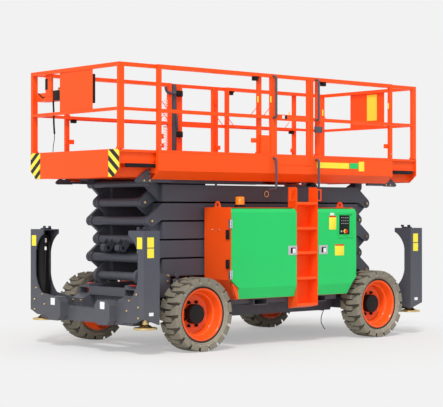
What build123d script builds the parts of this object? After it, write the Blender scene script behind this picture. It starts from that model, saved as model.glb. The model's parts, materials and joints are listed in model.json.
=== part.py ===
"""Rough-terrain scissor lift: four-wheel chassis, four outriggers, five-section scissor, extending deck.

Millimetres, +X forward, +Y to the machine's left, +Z up. The origin is on the ground under the middle.
"""

import math
import os

from build123d import *

# ---------------------------------------------------------------- driving dimensions
GAP = 0.3  # running gap at pins, seats and sliding faces
CLEAR = 5.0  # least gap between pieces that move past each other
SHEET = 8.0  # folded sheet of the side modules
HINGE_HALF = 22.0  # half the moving knuckle of a door or gate hinge
HINGE_RADIUS = 8.0
HINGE_PIN_RADIUS = 5.0

# wheels and axles
WHEEL_BASE = 2870.0
TYRE_RADIUS = 415.0
TYRE_WIDTH = 305.0
TREAD_DEPTH = 32.0
LUGS_PER_SIDE = 18
WHEEL_Y = 987.5  # middle plane of each wheel
RIM_RADIUS = 292.0
RIM_LIP = 5.0
LIP_Y = 100.0  # inner face of the rim's lip, from the wheel's middle plane
WALL_OUT_Y = 140.0  # widest ring of the tyre's wall
LUG_WIDTH = 58.0
LUG_END = 110.0  # width of a lug at the shoulder
LUG_LEAN = 42.0
KINGPIN_Y = 790.0
KINGPIN_RADIUS = 30.0
HUB_FACE_Y = 846.0
AXLE_HALF = 75.0

# scissor
PIN_X = 1760.0  # pins stand this far ahead of and behind the middle when stowed
PIN_LOW_Z = 820.0
PITCH = 212.8  # height of one stowed section
SECTIONS = 5
ARM_END_X = PIN_X - 160.0  # the full-width arm ends here and its lugs begin
ARM_GAP = 10.0  # half the gap between stowed arms
OUTER_IN, OUTER_OUT = 490.0, 590.0
INNER_IN, INNER_OUT = 357.0, 457.0
LAP_GAP = 6.0  # between two lugs on one pin
PIN_RADIUS = 32.0
CENTRE_PIN_RADIUS = 35.0
CROSS_TUBE_RADIUS = 50.0
LUG_RADIUS = 60.0
PIN_CAP = 7.0
TOP_ROLLER_RADIUS = 45.0
FOOT_ROLLER_RADIUS = 90.0

# lift cylinders
CYLINDER_Y = 140.0
BARREL_RADIUS = 65.0
ROD_RADIUS = 38.0
EYE_RADIUS = 52.0
EYE_PIN_RADIUS = 25.0
EYE_HALF = 43.0
LOWER_EYE = (130.0, -30.0)  # from the lowest rear pin
UPPER_EYE = (99.0, -99.0)  # from the front pin two sections up
BARREL_SHORT = 560.0  # barrel is shorter than eye to eye by this

# chassis
BEAM_IN, BEAM_OUT = 330.0, 560.0
BEAM_TOP_Z = 600.0
BEAM_LOW_Z = 330.0
ARCH_Z = 540.0
ARCH_HALF = 225.0
CROSS_BAR_XS = (-900.0, -300.0, 280.0, 900.0)
CHASSIS_END_X = PIN_X + 285.0
END_MEMBER_X = PIN_X + 90.0
END_MEMBER_LENGTH = 100.0
END_MEMBER_TOP_Z = 695.0
RAIL_TOP_Z = PIN_LOW_Z - FOOT_ROLLER_RADIUS - GAP
POCKET_XS = (-520.0, 450.0)
POCKET_HALF = 110.0
POCKET_WALL = 12.0
POCKET_HEIGHT = 80.0
POCKET_END_Y = 985.0
RAIL_OUT = 925.0  # module rails end inside the ladder

# outriggers
LEG_IN_X = CHASSIS_END_X
LEG_OUT_X = LEG_IN_X + 220.0
HORN_X = LEG_OUT_X + 102.0  # the eight-sided beam ends stand ahead of the legs
LEG_PLATE = 12.0
LEG_OUT_Y = 1097.0
LEG_TOP_Z = 1357.0
LEG_CYLINDER_Y = 985.0
LEG_BARREL_RADIUS = 70.0
LEG_ROD_RADIUS = 38.0
FOOT_RADIUS = 130.0
FOOT_LOW_Z = 280.0
FOOT_THICK = 22.0

# side modules
MODULE_IN_Y, MODULE_OUT_Y = 620.0, 1000.0
DOOR_OUT_Y = MODULE_OUT_Y + 80.0
MODULE_TOP_Z = 1615.0
MODULE_LOW_Z = 556.0  # the modules stand on the fork pockets' top
POCKET_TOP_Z = MODULE_LOW_Z
POCKET_LOW_Z = POCKET_TOP_Z - POCKET_HEIGHT
MODULE_FRONT_X, MODULE_REAR_X = 1000.0, -1080.0
ARCH_TOP_Z = 785.0  # the front plate ends here and the arch slope begins
ARCH_LOW_X = 895.0
DOOR_WALL = 6.0
DOOR_TOP_Z = MODULE_TOP_Z - 15.0
FRONT_DOOR_X = MODULE_FRONT_X - SHEET - CLEAR
REAR_DOOR_X = MODULE_REAR_X + 20.0
LIFTING_EYE_RADIUS = 22.0
EYE_PLATE_RADIUS = 42.0
EYE_PLATE = 12.0
EYE_PLATE_FOOT = 57.0
EYE_PLATE_Y = 846.0
EYE_PLATE_RISE = 28.0
EYE_PLATE_XS = (MODULE_FRONT_X, MODULE_REAR_X + 74.0)  # front faces of the lifting eyes
REAR_HINGE_Y = 1030.0
HINGE_OFF = 11.0  # rear hinge axis from the door's edge
FRONT_HINGE = (MODULE_FRONT_X + HINGE_RADIUS, DOOR_OUT_Y + HINGE_RADIUS)
HINGE_LEAF = 4.0
DOOR_HINGE_ZS = (846.0, 1425.0)
LADDER_FRONT_X, LADDER_REAR_X = -46.0, -394.0
LADDER_BACK_Y = 930.0
LADDER_LOW_Z = 446.0
LADDER_TOP_Z = 1857.0
STRINGER = 6.0
STEP_ZS = (473.0, 788.0, 1091.0, 1382.0, 1680.0)
HOOP_RADIUS = 7.0
HOOP_OUT = 82.0
HOOP_Y = 1050.0

# platform
PIN_TOP_Z = PIN_LOW_Z + SECTIONS * PITCH
TRACK_TOP_Z = PIN_TOP_Z + 66.0
FRAME_LOW_Z = PIN_TOP_Z + 41.0
SIDE_LOW_Z = PIN_TOP_Z + 134.0
DECK_TOP_Z = PIN_TOP_Z + 226.0
DECK_HALF_X = PIN_X + 155.0
DECK_HALF_Y = 906.0
FRAME_HALF_Y = DECK_HALF_Y - 106.0
DECK_PLATE = 15.0
TREAD_PLATE = 3.0
TOE_TOP_Z = DECK_TOP_Z + 138.0
TOE_PLATE = 10.0
TOE_RIM = 3.0
RAIL_TOP = DECK_TOP_Z + 1086.0
RAIL_UNDER = RAIL_TOP - 43.0
MID_TOP = DECK_TOP_Z + 594.0
MID_UNDER = MID_TOP - 40.0
RAIL_OUT_Y = DECK_HALF_Y
RAIL_IN_Y = RAIL_OUT_Y - 40.0
GATE_REAR_X, GATE_FRONT_X = -445.0, 156.0
GATE_HINGE = (GATE_REAR_X + 2.5, RAIL_IN_Y - 8.0)
GATE_HINGE_ZS = (TOE_TOP_Z + 52.0, RAIL_TOP - 196.0)
POST = 50.0
GRAB_RADIUS = 14.0
GRAB_OUT = 50.0
GRAB_XS = (GATE_FRONT_X + 16.0, GATE_REAR_X - 90.0)

# roll-out decks
EXT_END_X = DECK_HALF_X + 505.0
EXT_OUT_Y = RAIL_IN_Y - CLEAR
EXT_IN_Y = EXT_OUT_Y - 41.0
EXT_LOW_Z = FRAME_LOW_Z + 24.0
EXT_BEAM_Z = EXT_LOW_Z + 102.0  # top of the beam under the roll-out deck
EXT_BEAM_Y = EXT_OUT_Y - 105.0
EXT_TOE_Z = TOE_TOP_Z - 3.0
EXT_FLOOR_Z = DECK_TOP_Z + 8.0
EXT_SILL_Z = EXT_FLOOR_Z - 26.0
EXT_LIP = 28.0
EXT_WEB_IN = 24.0
EXT_PLATE = 12.0
EXT_MID_TOP = DECK_TOP_Z + 597.0
EXT_MID_UNDER = EXT_MID_TOP - 34.0
RUNNER_Y = (700.0, 745.0)
FRONT_INNER_X, REAR_INNER_X = 322.0, 600.0
PANEL_LOW_Z = RAIL_TOP - 496.0

# console and free cords
CONSOLE_LOW_Z = RAIL_TOP - 346.0
CABLE_PLUG = (2330.0, -530.0)
CONSOLE_LEAD = 22.0
CONSOLE_WIRE = 8.0
EARTH_STRAP = 10.0


# ---------------------------------------------------------------- shape helpers
def block(x0, x1, y0, y1, z0, z1):
    """Box between two corners."""
    middle = Pos((x0 + x1) / 2, (y0 + y1) / 2, (z0 + z1) / 2)
    return middle * Box(abs(x1 - x0), abs(y1 - y0), abs(z1 - z0))


def bar_y(x, z, radius, y0, y1):
    """Round bar along Y."""
    return Pos(x, (y0 + y1) / 2, z) * Rot(90, 0, 0) * Cylinder(radius, abs(y1 - y0))


def bar_x(y, z, radius, x0, x1):
    """Round bar along X."""
    return Pos((x0 + x1) / 2, y, z) * Rot(0, 90, 0) * Cylinder(radius, abs(x1 - x0))


def bar_z(x, y, radius, z0, z1):
    """Round bar along Z."""
    return Pos(x, y, (z0 + z1) / 2) * Cylinder(radius, abs(z1 - z0))


def plate_xz(points, y0, y1):
    """Plate whose outline lies in XZ, from y0 to y1."""
    outline = Polyline(*[(x, y0, z) for x, z in points], close=True)
    return extrude(make_face(outline), amount=y1 - y0, dir=(0, 1, 0))


def plate_yz(points, x0, x1):
    """Plate whose outline lies in YZ, from x0 to x1."""
    outline = Polyline(*[(x0, y, z) for y, z in points], close=True)
    return extrude(make_face(outline), amount=x1 - x0, dir=(1, 0, 0))


def far(shape):
    """The same shape on the machine's right-hand side."""
    return mirror(shape, about=Plane.XZ)


def rear(shape):
    """The same shape at the machine's rear."""
    return mirror(shape, about=Plane.YZ)


def both(shape):
    """A shape and its twin across the middle."""
    return shape + far(shape)


def moving_hinge_half(x, y, z, leaf):
    """Knuckle, leaf and pin of an upright hinge."""
    body = bar_z(x, y, HINGE_RADIUS, z - HINGE_HALF, z + HINGE_HALF)
    body += block(*leaf, z - HINGE_HALF, z + HINGE_HALF)
    return body + bar_z(x, y, HINGE_PIN_RADIUS, z - 2 * HINGE_HALF, z + 2 * HINGE_HALF)


def fixed_hinge_half(x, y, z, leaf):
    """Two bored knuckles with their leaves, above and below the moving knuckle."""
    halves = []
    for z0, z1 in ((z - 2 * HINGE_HALF, z - HINGE_HALF - 1), (z + HINGE_HALF + 1, z + 2 * HINGE_HALF)):
        half = bar_z(x, y, HINGE_RADIUS, z0, z1) + block(*leaf, z0, z1)
        halves.append(half - bar_z(x, y, HINGE_PIN_RADIUS + GAP, z0 - 1, z1 + 1))
    return Part() + halves


def touch_point(px, pz, cx, cz, radius, side):
    """Where the tangent from (px, pz) touches the circle, on the given side of the line of sight."""
    dx, dz = cx - px, cz - pz
    reach = math.hypot(dx, dz)
    spread = math.asin(radius / reach)
    run = math.sqrt(reach**2 - radius**2)
    heading = math.atan2(dz, dx) + side * spread
    return px + run * math.cos(heading), pz + run * math.sin(heading)


def cord_tube(points, diameter):
    """Round cord along straight runs joined by the largest arcs that its runs allow."""
    route = [Vector(*p) for p in points]
    radii = []
    for before, here, after in zip(route, route[1:], route[2:]):
        turn = math.radians((here - before).get_angle(after - here))
        shorter = min((here - before).length, (after - here).length)
        radii.append(0.45 * shorter / math.tan(turn / 2))
    path = FilletPolyline(*points, radius=radii)
    print("cord radii", [round(r) for r in radii], "length", round(path.length))
    first = route[1] - route[0]
    section = Plane(origin=route[0], z_dir=first) * Circle(diameter / 2)
    return sweep(section, path=path)


# ---------------------------------------------------------------- wheels
def tyre():
    """Lugged tyre about the Y axis through the origin: carcass of revolution with two rows of bars."""
    half = TYRE_WIDTH / 2
    base = TYRE_RADIUS - TREAD_DEPTH
    bore = RIM_RADIUS + GAP
    lip = bore + RIM_LIP
    flank = [(LIP_Y - GAP, bore), (LIP_Y - GAP, lip), (LIP_Y + 14, lip), (WALL_OUT_Y, bore + 30)]
    flank += [(half - 12, base - 14), (half - 40, base)]
    outline = flank + [(-y, z) for y, z in reversed(flank)]
    carcass = revolve(make_face(Polyline(*[(0, y, z) for y, z in outline], close=True)), Axis.Y)
    narrow = LUG_WIDTH / 2
    root = base - 34
    crest = math.sqrt(TYRE_RADIUS**2 - (narrow + LUG_LEAN) ** 2)
    right = [(half - 20, crest), (half, crest - 22), (half, root)]
    left = [(-y, z) for y, z in reversed(right)]
    chamfered = plate_yz(left + right, -TYRE_RADIUS, TYRE_RADIUS)
    lugs = []
    for i in range(LUGS_PER_SIDE):
        for row in (1, -1):
            foot = [
                (LUG_LEAN - narrow, row * -8),
                (LUG_LEAN + narrow, row * -8),
                (LUG_END / 2, row * half),
                (-LUG_END / 2, row * half),
            ]
            outline = Polyline(*[(x, y, root) for x, y in foot], close=True)
            lug = extrude(make_face(outline), amount=TYRE_RADIUS - root, dir=(0, 0, 1)) & chamfered
            angle = (i + (0.5 if row < 0 else 0)) * 360 / LUGS_PER_SIDE
            lugs.append(Rot(0, angle, 0) * lug)
    return carcass + lugs


def wheel():
    """Rim with its disc and the hub through it, about the Y axis, open side towards +Y."""
    back = HUB_FACE_Y + GAP - WHEEL_Y
    section = Polyline(
        (0, LIP_Y + 11, RIM_RADIUS + RIM_LIP),
        (0, LIP_Y + 11, RIM_RADIUS - 8),
        (0, 88, 256),
        (0, 18, 228),
        (0, -60, 218),
        (0, -72, 150),
        (0, -72, 110),
        (0, -6, 110),
        (0, 2, 100),
        (0, 2, 0),
        (0, back, 0),
        (0, back, 118),
        (0, -90, 128),
        (0, -92, 205),
        (0, -112, 262),
        (0, -139, 276),
        (0, -139, RIM_RADIUS),
        (0, LIP_Y, RIM_RADIUS),
        (0, LIP_Y, RIM_RADIUS + RIM_LIP),
        close=True,
    )
    return revolve(make_face(section), Axis.Y)


def front_axle():
    """Oscillating steer axle: box beam with a yoke at each end."""
    z0, z1 = TYRE_RADIUS - AXLE_HALF, TYRE_RADIUS + AXLE_HALF
    beam = block(-AXLE_HALF, AXLE_HALF, -690, 690, z0, z1)
    pivot = bar_x(0, TYRE_RADIUS, 85, -AXLE_HALF - 4, AXLE_HALF + 4)
    body = beam + pivot
    for side in (1, -1):
        web = block(-60, 60, side * 640, side * 690, 258, 572)
        upper = block(-60, 60, side * 690, side * 838, 540, 572)
        lower = block(-60, 60, side * 690, side * 838, 258, 290)
        body += web + upper + lower
        body -= bar_z(0, side * KINGPIN_Y, KINGPIN_RADIUS + GAP, 200, 640)
    body -= bar_x(0, TYRE_RADIUS, PIN_RADIUS + GAP, -200, 200)
    return Pos(WHEEL_BASE / 2, 0, 0) * body


def rear_axle():
    """Rigid drive axle bolted up to the chassis beams."""
    z0, z1 = TYRE_RADIUS - AXLE_HALF, TYRE_RADIUS + AXLE_HALF
    body = block(-AXLE_HALF, AXLE_HALF, -700, 700, z0, z1)
    body += bar_y(0, TYRE_RADIUS, 135, -120, 120)
    for side in (1, -1):
        body += bar_y(0, TYRE_RADIUS, 70, side * 690, side * (HUB_FACE_Y - 14))
        body += bar_y(0, TYRE_RADIUS, 115, side * (HUB_FACE_Y - 14), side * HUB_FACE_Y)
        body += block(-110, 110, side * 385, side * 505, z1 - 10, ARCH_Z)
    return Pos(-WHEEL_BASE / 2, 0, 0) * body


def knuckle():
    """Left steering knuckle: kingpin, carrier and hub flange."""
    body = bar_z(0, KINGPIN_Y, KINGPIN_RADIUS, 258, 572)
    body += bar_z(0, KINGPIN_Y, 52, 290 + GAP, 540 - GAP)
    body += bar_y(0, TYRE_RADIUS, 75, KINGPIN_Y, HUB_FACE_Y - 14)
    body += bar_y(0, TYRE_RADIUS, 115, HUB_FACE_Y - 14, HUB_FACE_Y)
    arm_outline = [(-10, 395), (-150, 400), (-165, 415), (-150, 435), (-10, 440)]
    arm = plate_xz(arm_outline, KINGPIN_Y - 32, KINGPIN_Y - 2)
    return Pos(WHEEL_BASE / 2, 0, 0) * (body + arm)


# ---------------------------------------------------------------- chassis
def pocket_tubes(grow, half_length):
    """Both fork pockets' rectangles right across the machine, grown by a wall or a gap."""
    low, high = POCKET_LOW_Z - grow, POCKET_TOP_Z + grow
    half = POCKET_HALF + grow
    return [block(x - half, x + half, -half_length, half_length, low, high) for x in POCKET_XS]


def chassis_beams():
    """Left and right box beams with axle arches, slide rails and the ears of the lowest rear pivot."""
    half_base = WHEEL_BASE / 2
    half_outline = [
        (half_base - ARCH_HALF - 80, BEAM_LOW_Z),
        (half_base - ARCH_HALF, ARCH_Z),
        (half_base + ARCH_HALF, ARCH_Z),
        (half_base + ARCH_HALF + 60, 450),
        (END_MEMBER_X, BEAM_LOW_Z),
        (CHASSIS_END_X, BEAM_LOW_Z),
        (CHASSIS_END_X, 560),
        (END_MEMBER_X + END_MEMBER_LENGTH, BEAM_TOP_Z),
    ]
    outline = half_outline + [(-x, z) for x, z in reversed(half_outline)]
    beam = plate_xz(outline, BEAM_IN, BEAM_OUT)
    # slide rail for the lowest front roller, from the end member back past the middle
    beam += block(150, END_MEMBER_X, 365, 395, BEAM_TOP_Z, END_MEMBER_TOP_Z)
    beam += block(150, END_MEMBER_X, 340, 420, END_MEMBER_TOP_Z, RAIL_TOP_Z)
    # ear of the lowest rear pivot
    ear_out = (OUTER_IN + OUTER_OUT - LAP_GAP) / 2
    root_l, root_r = (-END_MEMBER_X, BEAM_TOP_Z), (-PIN_X + 150, BEAM_TOP_Z)
    foot_l = touch_point(*root_l, -PIN_X, PIN_LOW_Z, LUG_RADIUS, 1)
    foot_r = touch_point(*root_r, -PIN_X, PIN_LOW_Z, LUG_RADIUS, -1)
    ear = plate_xz([root_l, foot_l, (-PIN_X, PIN_LOW_Z), foot_r, root_r], OUTER_IN, ear_out)
    ear += bar_y(-PIN_X, PIN_LOW_Z, LUG_RADIUS, OUTER_IN, ear_out)
    beam += ear - bar_y(-PIN_X, PIN_LOW_Z, PIN_RADIUS + GAP, OUTER_IN - 1, ear_out + 1)
    for tube in pocket_tubes(0, POCKET_END_Y):
        beam -= tube
    return [beam, far(beam)]


def cross_members():
    """End members on the beams, bars between them, and the bracket that the front axle swings in."""
    half_base = WHEEL_BASE / 2
    members = []
    for end in (1, -1):
        x0, x1 = end * END_MEMBER_X, end * (END_MEMBER_X + END_MEMBER_LENGTH)
        member = block(x0, x1, -545, 545, BEAM_TOP_Z, END_MEMBER_TOP_Z)
        z0, z1 = BEAM_TOP_Z + 14, END_MEMBER_TOP_Z - 16
        for side in (1, -1):
            member -= block(x0 - end, x1 + end, side * 350, side * 520, z0, z1)
            if end > 0:
                member += block(x0, x1, side * 340, side * 420, END_MEMBER_TOP_Z, RAIL_TOP_Z)
        members.append(member)
        members.append(block(x0, end * (END_MEMBER_X + 30), -BEAM_IN, BEAM_IN, 440, BEAM_TOP_Z))
    for x in CROSS_BAR_XS:
        members.append(block(x - 50, x + 50, -BEAM_IN, BEAM_IN, 400, 540))
    bracket = block(half_base - 120, half_base + 120, -BEAM_IN, BEAM_IN, ARCH_Z, BEAM_TOP_Z)
    for x in (half_base - 104, half_base + 84):
        bracket += block(x, x + 20, -75, 75, 350, ARCH_Z)
    members.append(bracket + bar_x(0, TYRE_RADIUS, PIN_RADIUS, half_base - 112, half_base + 112))
    return members


def fork_pockets():
    """Two hollow tubes for a fork truck's tines, and the rails on them that carry the modules."""
    body = Part() + pocket_tubes(0, POCKET_END_Y)
    for side in (1, -1):
        body += block(-860, 860, side * 860, side * RAIL_OUT, POCKET_LOW_Z + 20, POCKET_TOP_Z)
    for tube in pocket_tubes(-POCKET_WALL, POCKET_END_Y + 1):
        body -= tube
    return body


def outrigger_frame():
    """Front outrigger beam with a C-shaped leg housing at each end."""
    body = block(LEG_IN_X + LEG_PLATE, LEG_OUT_X - LEG_PLATE, -895, 895, 315, 470)
    middle_y = (BEAM_IN + BEAM_OUT) / 2 + 30
    horn = [(-85, 310), (85, 310), (140, 365), (140, 530), (85, 585), (-85, 585), (-140, 530), (-140, 365)]
    horn = plate_yz([(middle_y + y, z) for y, z in horn], LEG_OUT_X - LEG_PLATE, HORN_X)
    body += both(horn)
    wall_y = LEG_OUT_Y - LEG_PLATE
    for x, low in ((LEG_IN_X, 330), (LEG_OUT_X - LEG_PLATE, 400)):
        head = [(wall_y, low), (wall_y, LEG_TOP_Z), (825, LEG_TOP_Z), (825, 1305)]
        tail = [(860, 610), (640, 585), (middle_y - 140, 540), (middle_y - 140, 315), (640, 315)]
        tail += [(760, 345), (960, 352), (wall_y, low)]
        edges = [Line((x, *a), (x, *b)) for a, b in zip(head, head[1:])]
        edges.append(ThreePointArc((x, 825, 1305), (x, 945, 1205), (x, 992, 1080)))
        edges.append(Line((x, 992, 1080), (x, 992, 840)))
        edges.append(ThreePointArc((x, 992, 840), (x, 952, 715), (x, 860, 610)))
        edges += [Line((x, *a), (x, *b)) for a, b in zip(tail, tail[1:])]
        plate = extrude(make_face(edges), amount=LEG_PLATE, dir=(1, 0, 0))
        body += both(plate)
    outline = [(LEG_IN_X, 330), (LEG_OUT_X, 400), (LEG_OUT_X, LEG_TOP_Z), (LEG_IN_X, LEG_TOP_Z)]
    wall = plate_xz(outline, wall_y, LEG_OUT_Y)
    x0, x1 = LEG_IN_X + LEG_PLATE, LEG_OUT_X - LEG_PLATE
    cap = block(x0, x1, 825, wall_y, LEG_TOP_Z - LEG_PLATE, LEG_TOP_Z)
    return body + both(wall + cap)


def leg_cylinder():
    """Outrigger cylinder with a blind bore for its rod, front left."""
    x = (LEG_IN_X + LEG_OUT_X) / 2
    body = bar_z(x, LEG_CYLINDER_Y, LEG_BARREL_RADIUS, 452, 1290)
    body += bar_z(x, LEG_CYLINDER_Y, 34, 1290, LEG_TOP_Z - LEG_PLATE)
    return body - bar_z(x, LEG_CYLINDER_Y, LEG_ROD_RADIUS + GAP, 440, 1200)


def foot():
    """Outrigger rod with its round pad, front left."""
    x = (LEG_IN_X + LEG_OUT_X) / 2
    body = bar_z(x, LEG_CYLINDER_Y, LEG_ROD_RADIUS, FOOT_LOW_Z + FOOT_THICK, 1100)
    body += bar_z(x, LEG_CYLINDER_Y, FOOT_RADIUS, FOOT_LOW_Z, FOOT_LOW_Z + FOOT_THICK)
    body += Pos(x, LEG_CYLINDER_Y, FOOT_LOW_Z + FOOT_THICK + 14) * Cone(80, 46, 28)
    return body


# ---------------------------------------------------------------- scissor
def level(k):
    """Height of pin level k, 1 at the top."""
    return PIN_LOW_Z + (SECTIONS + 1 - k) * PITCH


def arm(section, top_x, y_in, y_out, top_radius):
    """One arm on the left. Its upper pin is at top_x and its lower pin at the other end."""
    z_low, z_high = level(section + 1), level(section)
    z_mid = (z_low + z_high) / 2
    bottom, top = z_low + ARM_GAP, z_high - ARM_GAP
    sign = 1 if top_x > 0 else -1
    body = block(-ARM_END_X, ARM_END_X, y_in, y_out, bottom, top)
    half = (y_out - y_in - LAP_GAP) / 2
    upper = (sign, 1, y_in, y_in + half, PIN_RADIUS + GAP, top_radius)
    lower = (-sign, -1, y_out - half, y_out, None, LUG_RADIUS)
    for x_sign, z_sign, y0, y1, bore, radius in (upper, lower):
        outline = [
            (ARM_END_X - 60, bottom - z_mid),
            (ARM_END_X, bottom - z_mid),
            touch_point(ARM_END_X, bottom - z_mid, PIN_X, z_high - z_mid, radius, -1),
            (PIN_X, z_high - z_mid),
            touch_point(ARM_END_X + 15, top - z_mid, PIN_X, z_high - z_mid, radius, 1),
            (ARM_END_X + 15, top - z_mid),
            (ARM_END_X - 60, top - z_mid),
        ]
        points = [(x_sign * x, z_mid + z_sign * z) for x, z in outline]
        pin_x, pin_z = x_sign * PIN_X, z_mid + z_sign * (z_high - z_mid)
        lug = plate_xz(points, y0, y1) + bar_y(pin_x, pin_z, radius, y0, y1)
        if bore:
            lug -= bar_y(pin_x, pin_z, bore, y0 - 1, y1 + 1)
        body += lug
    return body


def arm_pair(section, outer):
    """Left and right arms of one section with the cross tube that carries their lower pins."""
    y_in, y_out = (OUTER_IN, OUTER_OUT) if outer else (INNER_IN, INNER_OUT)
    top_front = (section % 2 == 1) == outer
    top_x = PIN_X if top_front else -PIN_X
    z_low, z_high = level(section + 1), level(section)
    rolls = outer and section == 1
    left = arm(section, top_x, y_in, y_out, TOP_ROLLER_RADIUS if rolls else LUG_RADIUS)
    if outer:
        left += bar_y(0, (z_low + z_high) / 2, CENTRE_PIN_RADIUS, INNER_IN - PIN_CAP, OUTER_OUT + PIN_CAP)
    else:
        left -= bar_y(0, (z_low + z_high) / 2, CENTRE_PIN_RADIUS + GAP, y_in - 1, y_out + 1)
    if rolls:
        left += bar_y(top_x, z_high, TOP_ROLLER_RADIUS, y_in, y_out)
    if not outer and section == SECTIONS:
        half = (y_out - y_in - LAP_GAP) / 2
        left += bar_y(-top_x, z_low, FOOT_ROLLER_RADIUS, y_in, y_in + half)
    body = both(left)
    body += bar_y(-top_x, z_low, PIN_RADIUS, -y_out - PIN_CAP, y_out + PIN_CAP)
    body += bar_y(-top_x, z_low, CROSS_TUBE_RADIUS, -y_in + LAP_GAP / 2, y_in - LAP_GAP / 2)
    return body


def eye_bracket(pin, eye):
    """Two pairs of bored plates that hang the cylinder eyes from a cross tube."""
    dx, dz = eye[0], eye[1]
    reach = math.hypot(dx, dz)
    nx, nz = -dz / reach * 42, dx / reach * 42
    px, pz = pin
    near, beyond = (px + nx, pz + nz), (px - nx, pz - nz)
    outline = [near, (near[0] + dx, near[1] + dz), (beyond[0] + dx, beyond[1] + dz), beyond]
    plates = []
    for side in (1, -1):
        for inner in (EYE_HALF + 3, -EYE_HALF - 15):
            y0 = side * CYLINDER_Y + inner
            plate = plate_xz(outline, y0, y0 + 12)
            plate += bar_y(px + dx, pz + dz, 42, y0, y0 + 12)
            plates.append(plate - bar_y(px + dx, pz + dz, EYE_PIN_RADIUS + GAP, y0 - 1, y0 + 13))
    return Part() + plates


LOWER_PIN = (-PIN_X, PIN_LOW_Z)
UPPER_PIN = (PIN_X, PIN_LOW_Z + 2 * PITCH)
EYE_A = (LOWER_PIN[0] + LOWER_EYE[0], LOWER_PIN[1] + LOWER_EYE[1])
EYE_B = (UPPER_PIN[0] + UPPER_EYE[0], UPPER_PIN[1] + UPPER_EYE[1])
EYE_SPAN = math.hypot(EYE_B[0] - EYE_A[0], EYE_B[1] - EYE_A[1])
EYE_SLOPE = math.degrees(math.atan2(EYE_B[1] - EYE_A[1], EYE_B[0] - EYE_A[0]))


def lift_barrels():
    """Both lift barrels with their lower eyes, and the saddle that joins them."""
    parts = []
    for side in (1, -1):
        y = side * CYLINDER_Y
        tube = bar_x(y, 0, BARREL_RADIUS, 70, EYE_SPAN - BARREL_SHORT)
        neck = block(0, 80, y - EYE_HALF, y + EYE_HALF, -40, 40)
        eye = bar_y(0, 0, EYE_RADIUS, y - EYE_HALF, y + EYE_HALF)
        pin = bar_y(0, 0, EYE_PIN_RADIUS, y - EYE_HALF - 18, y + EYE_HALF + 18)
        bore = bar_x(y, 0, ROD_RADIUS + GAP, 600, EYE_SPAN)
        parts.append(tube + neck + eye + pin - bore)
    mouth = EYE_SPAN - BARREL_SHORT
    saddle = block(mouth - 160, mouth - 80, 50 - CYLINDER_Y, CYLINDER_Y - 50, -30, 30)
    return Pos(EYE_A[0], 0, EYE_A[1]) * Rot(0, -EYE_SLOPE, 0) * (Part() + parts + saddle)


def lift_rods():
    """Both lift rods with their upper eyes and the yoke bar between them."""
    parts = []
    for side in (1, -1):
        y = side * CYLINDER_Y
        rod = bar_x(y, 0, ROD_RADIUS, 700, EYE_SPAN - 30)
        eye = Pos(EYE_SPAN, 0, 0) * bar_y(0, 0, EYE_RADIUS, y - EYE_HALF, y + EYE_HALF)
        parts.append(rod + eye)
    yoke = block(EYE_SPAN - 290, EYE_SPAN - 250, -CYLINDER_Y, CYLINDER_Y, -22, 22)
    return Pos(EYE_A[0], 0, EYE_A[1]) * Rot(0, -EYE_SLOPE, 0) * (Part() + parts + yoke)


# ---------------------------------------------------------------- side modules
def module_outline():
    """Side outline of a module above the wheel arches."""
    return [
        (MODULE_REAR_X, MODULE_TOP_Z),
        (MODULE_FRONT_X, MODULE_TOP_Z),
        (MODULE_FRONT_X, ARCH_TOP_Z),
        (ARCH_LOW_X, MODULE_LOW_Z),
        (-929, MODULE_LOW_Z),
        (-996, 696),
        (MODULE_REAR_X, 761),
    ]


def lifting_eye(x):
    """Upright plate with an eye, tangent to its foot, standing on the module's roof."""
    y, z = EYE_PLATE_Y, MODULE_TOP_Z + EYE_PLATE_RISE
    foot_z = MODULE_TOP_Z - SHEET / 2
    right = touch_point(y + EYE_PLATE_FOOT, foot_z, y, z, EYE_PLATE_RADIUS, -1)
    left = touch_point(y - EYE_PLATE_FOOT, foot_z, y, z, EYE_PLATE_RADIUS, 1)
    outline = [(y - EYE_PLATE_FOOT, foot_z), (y + EYE_PLATE_FOOT, foot_z), right, (y, z), left]
    plate = plate_yz(outline, x - EYE_PLATE, x) + bar_x(y, z, EYE_PLATE_RADIUS, x - EYE_PLATE, x)
    return plate - bar_x(y, z, LIFTING_EYE_RADIUS, x - EYE_PLATE - 1, x + 1)


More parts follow.
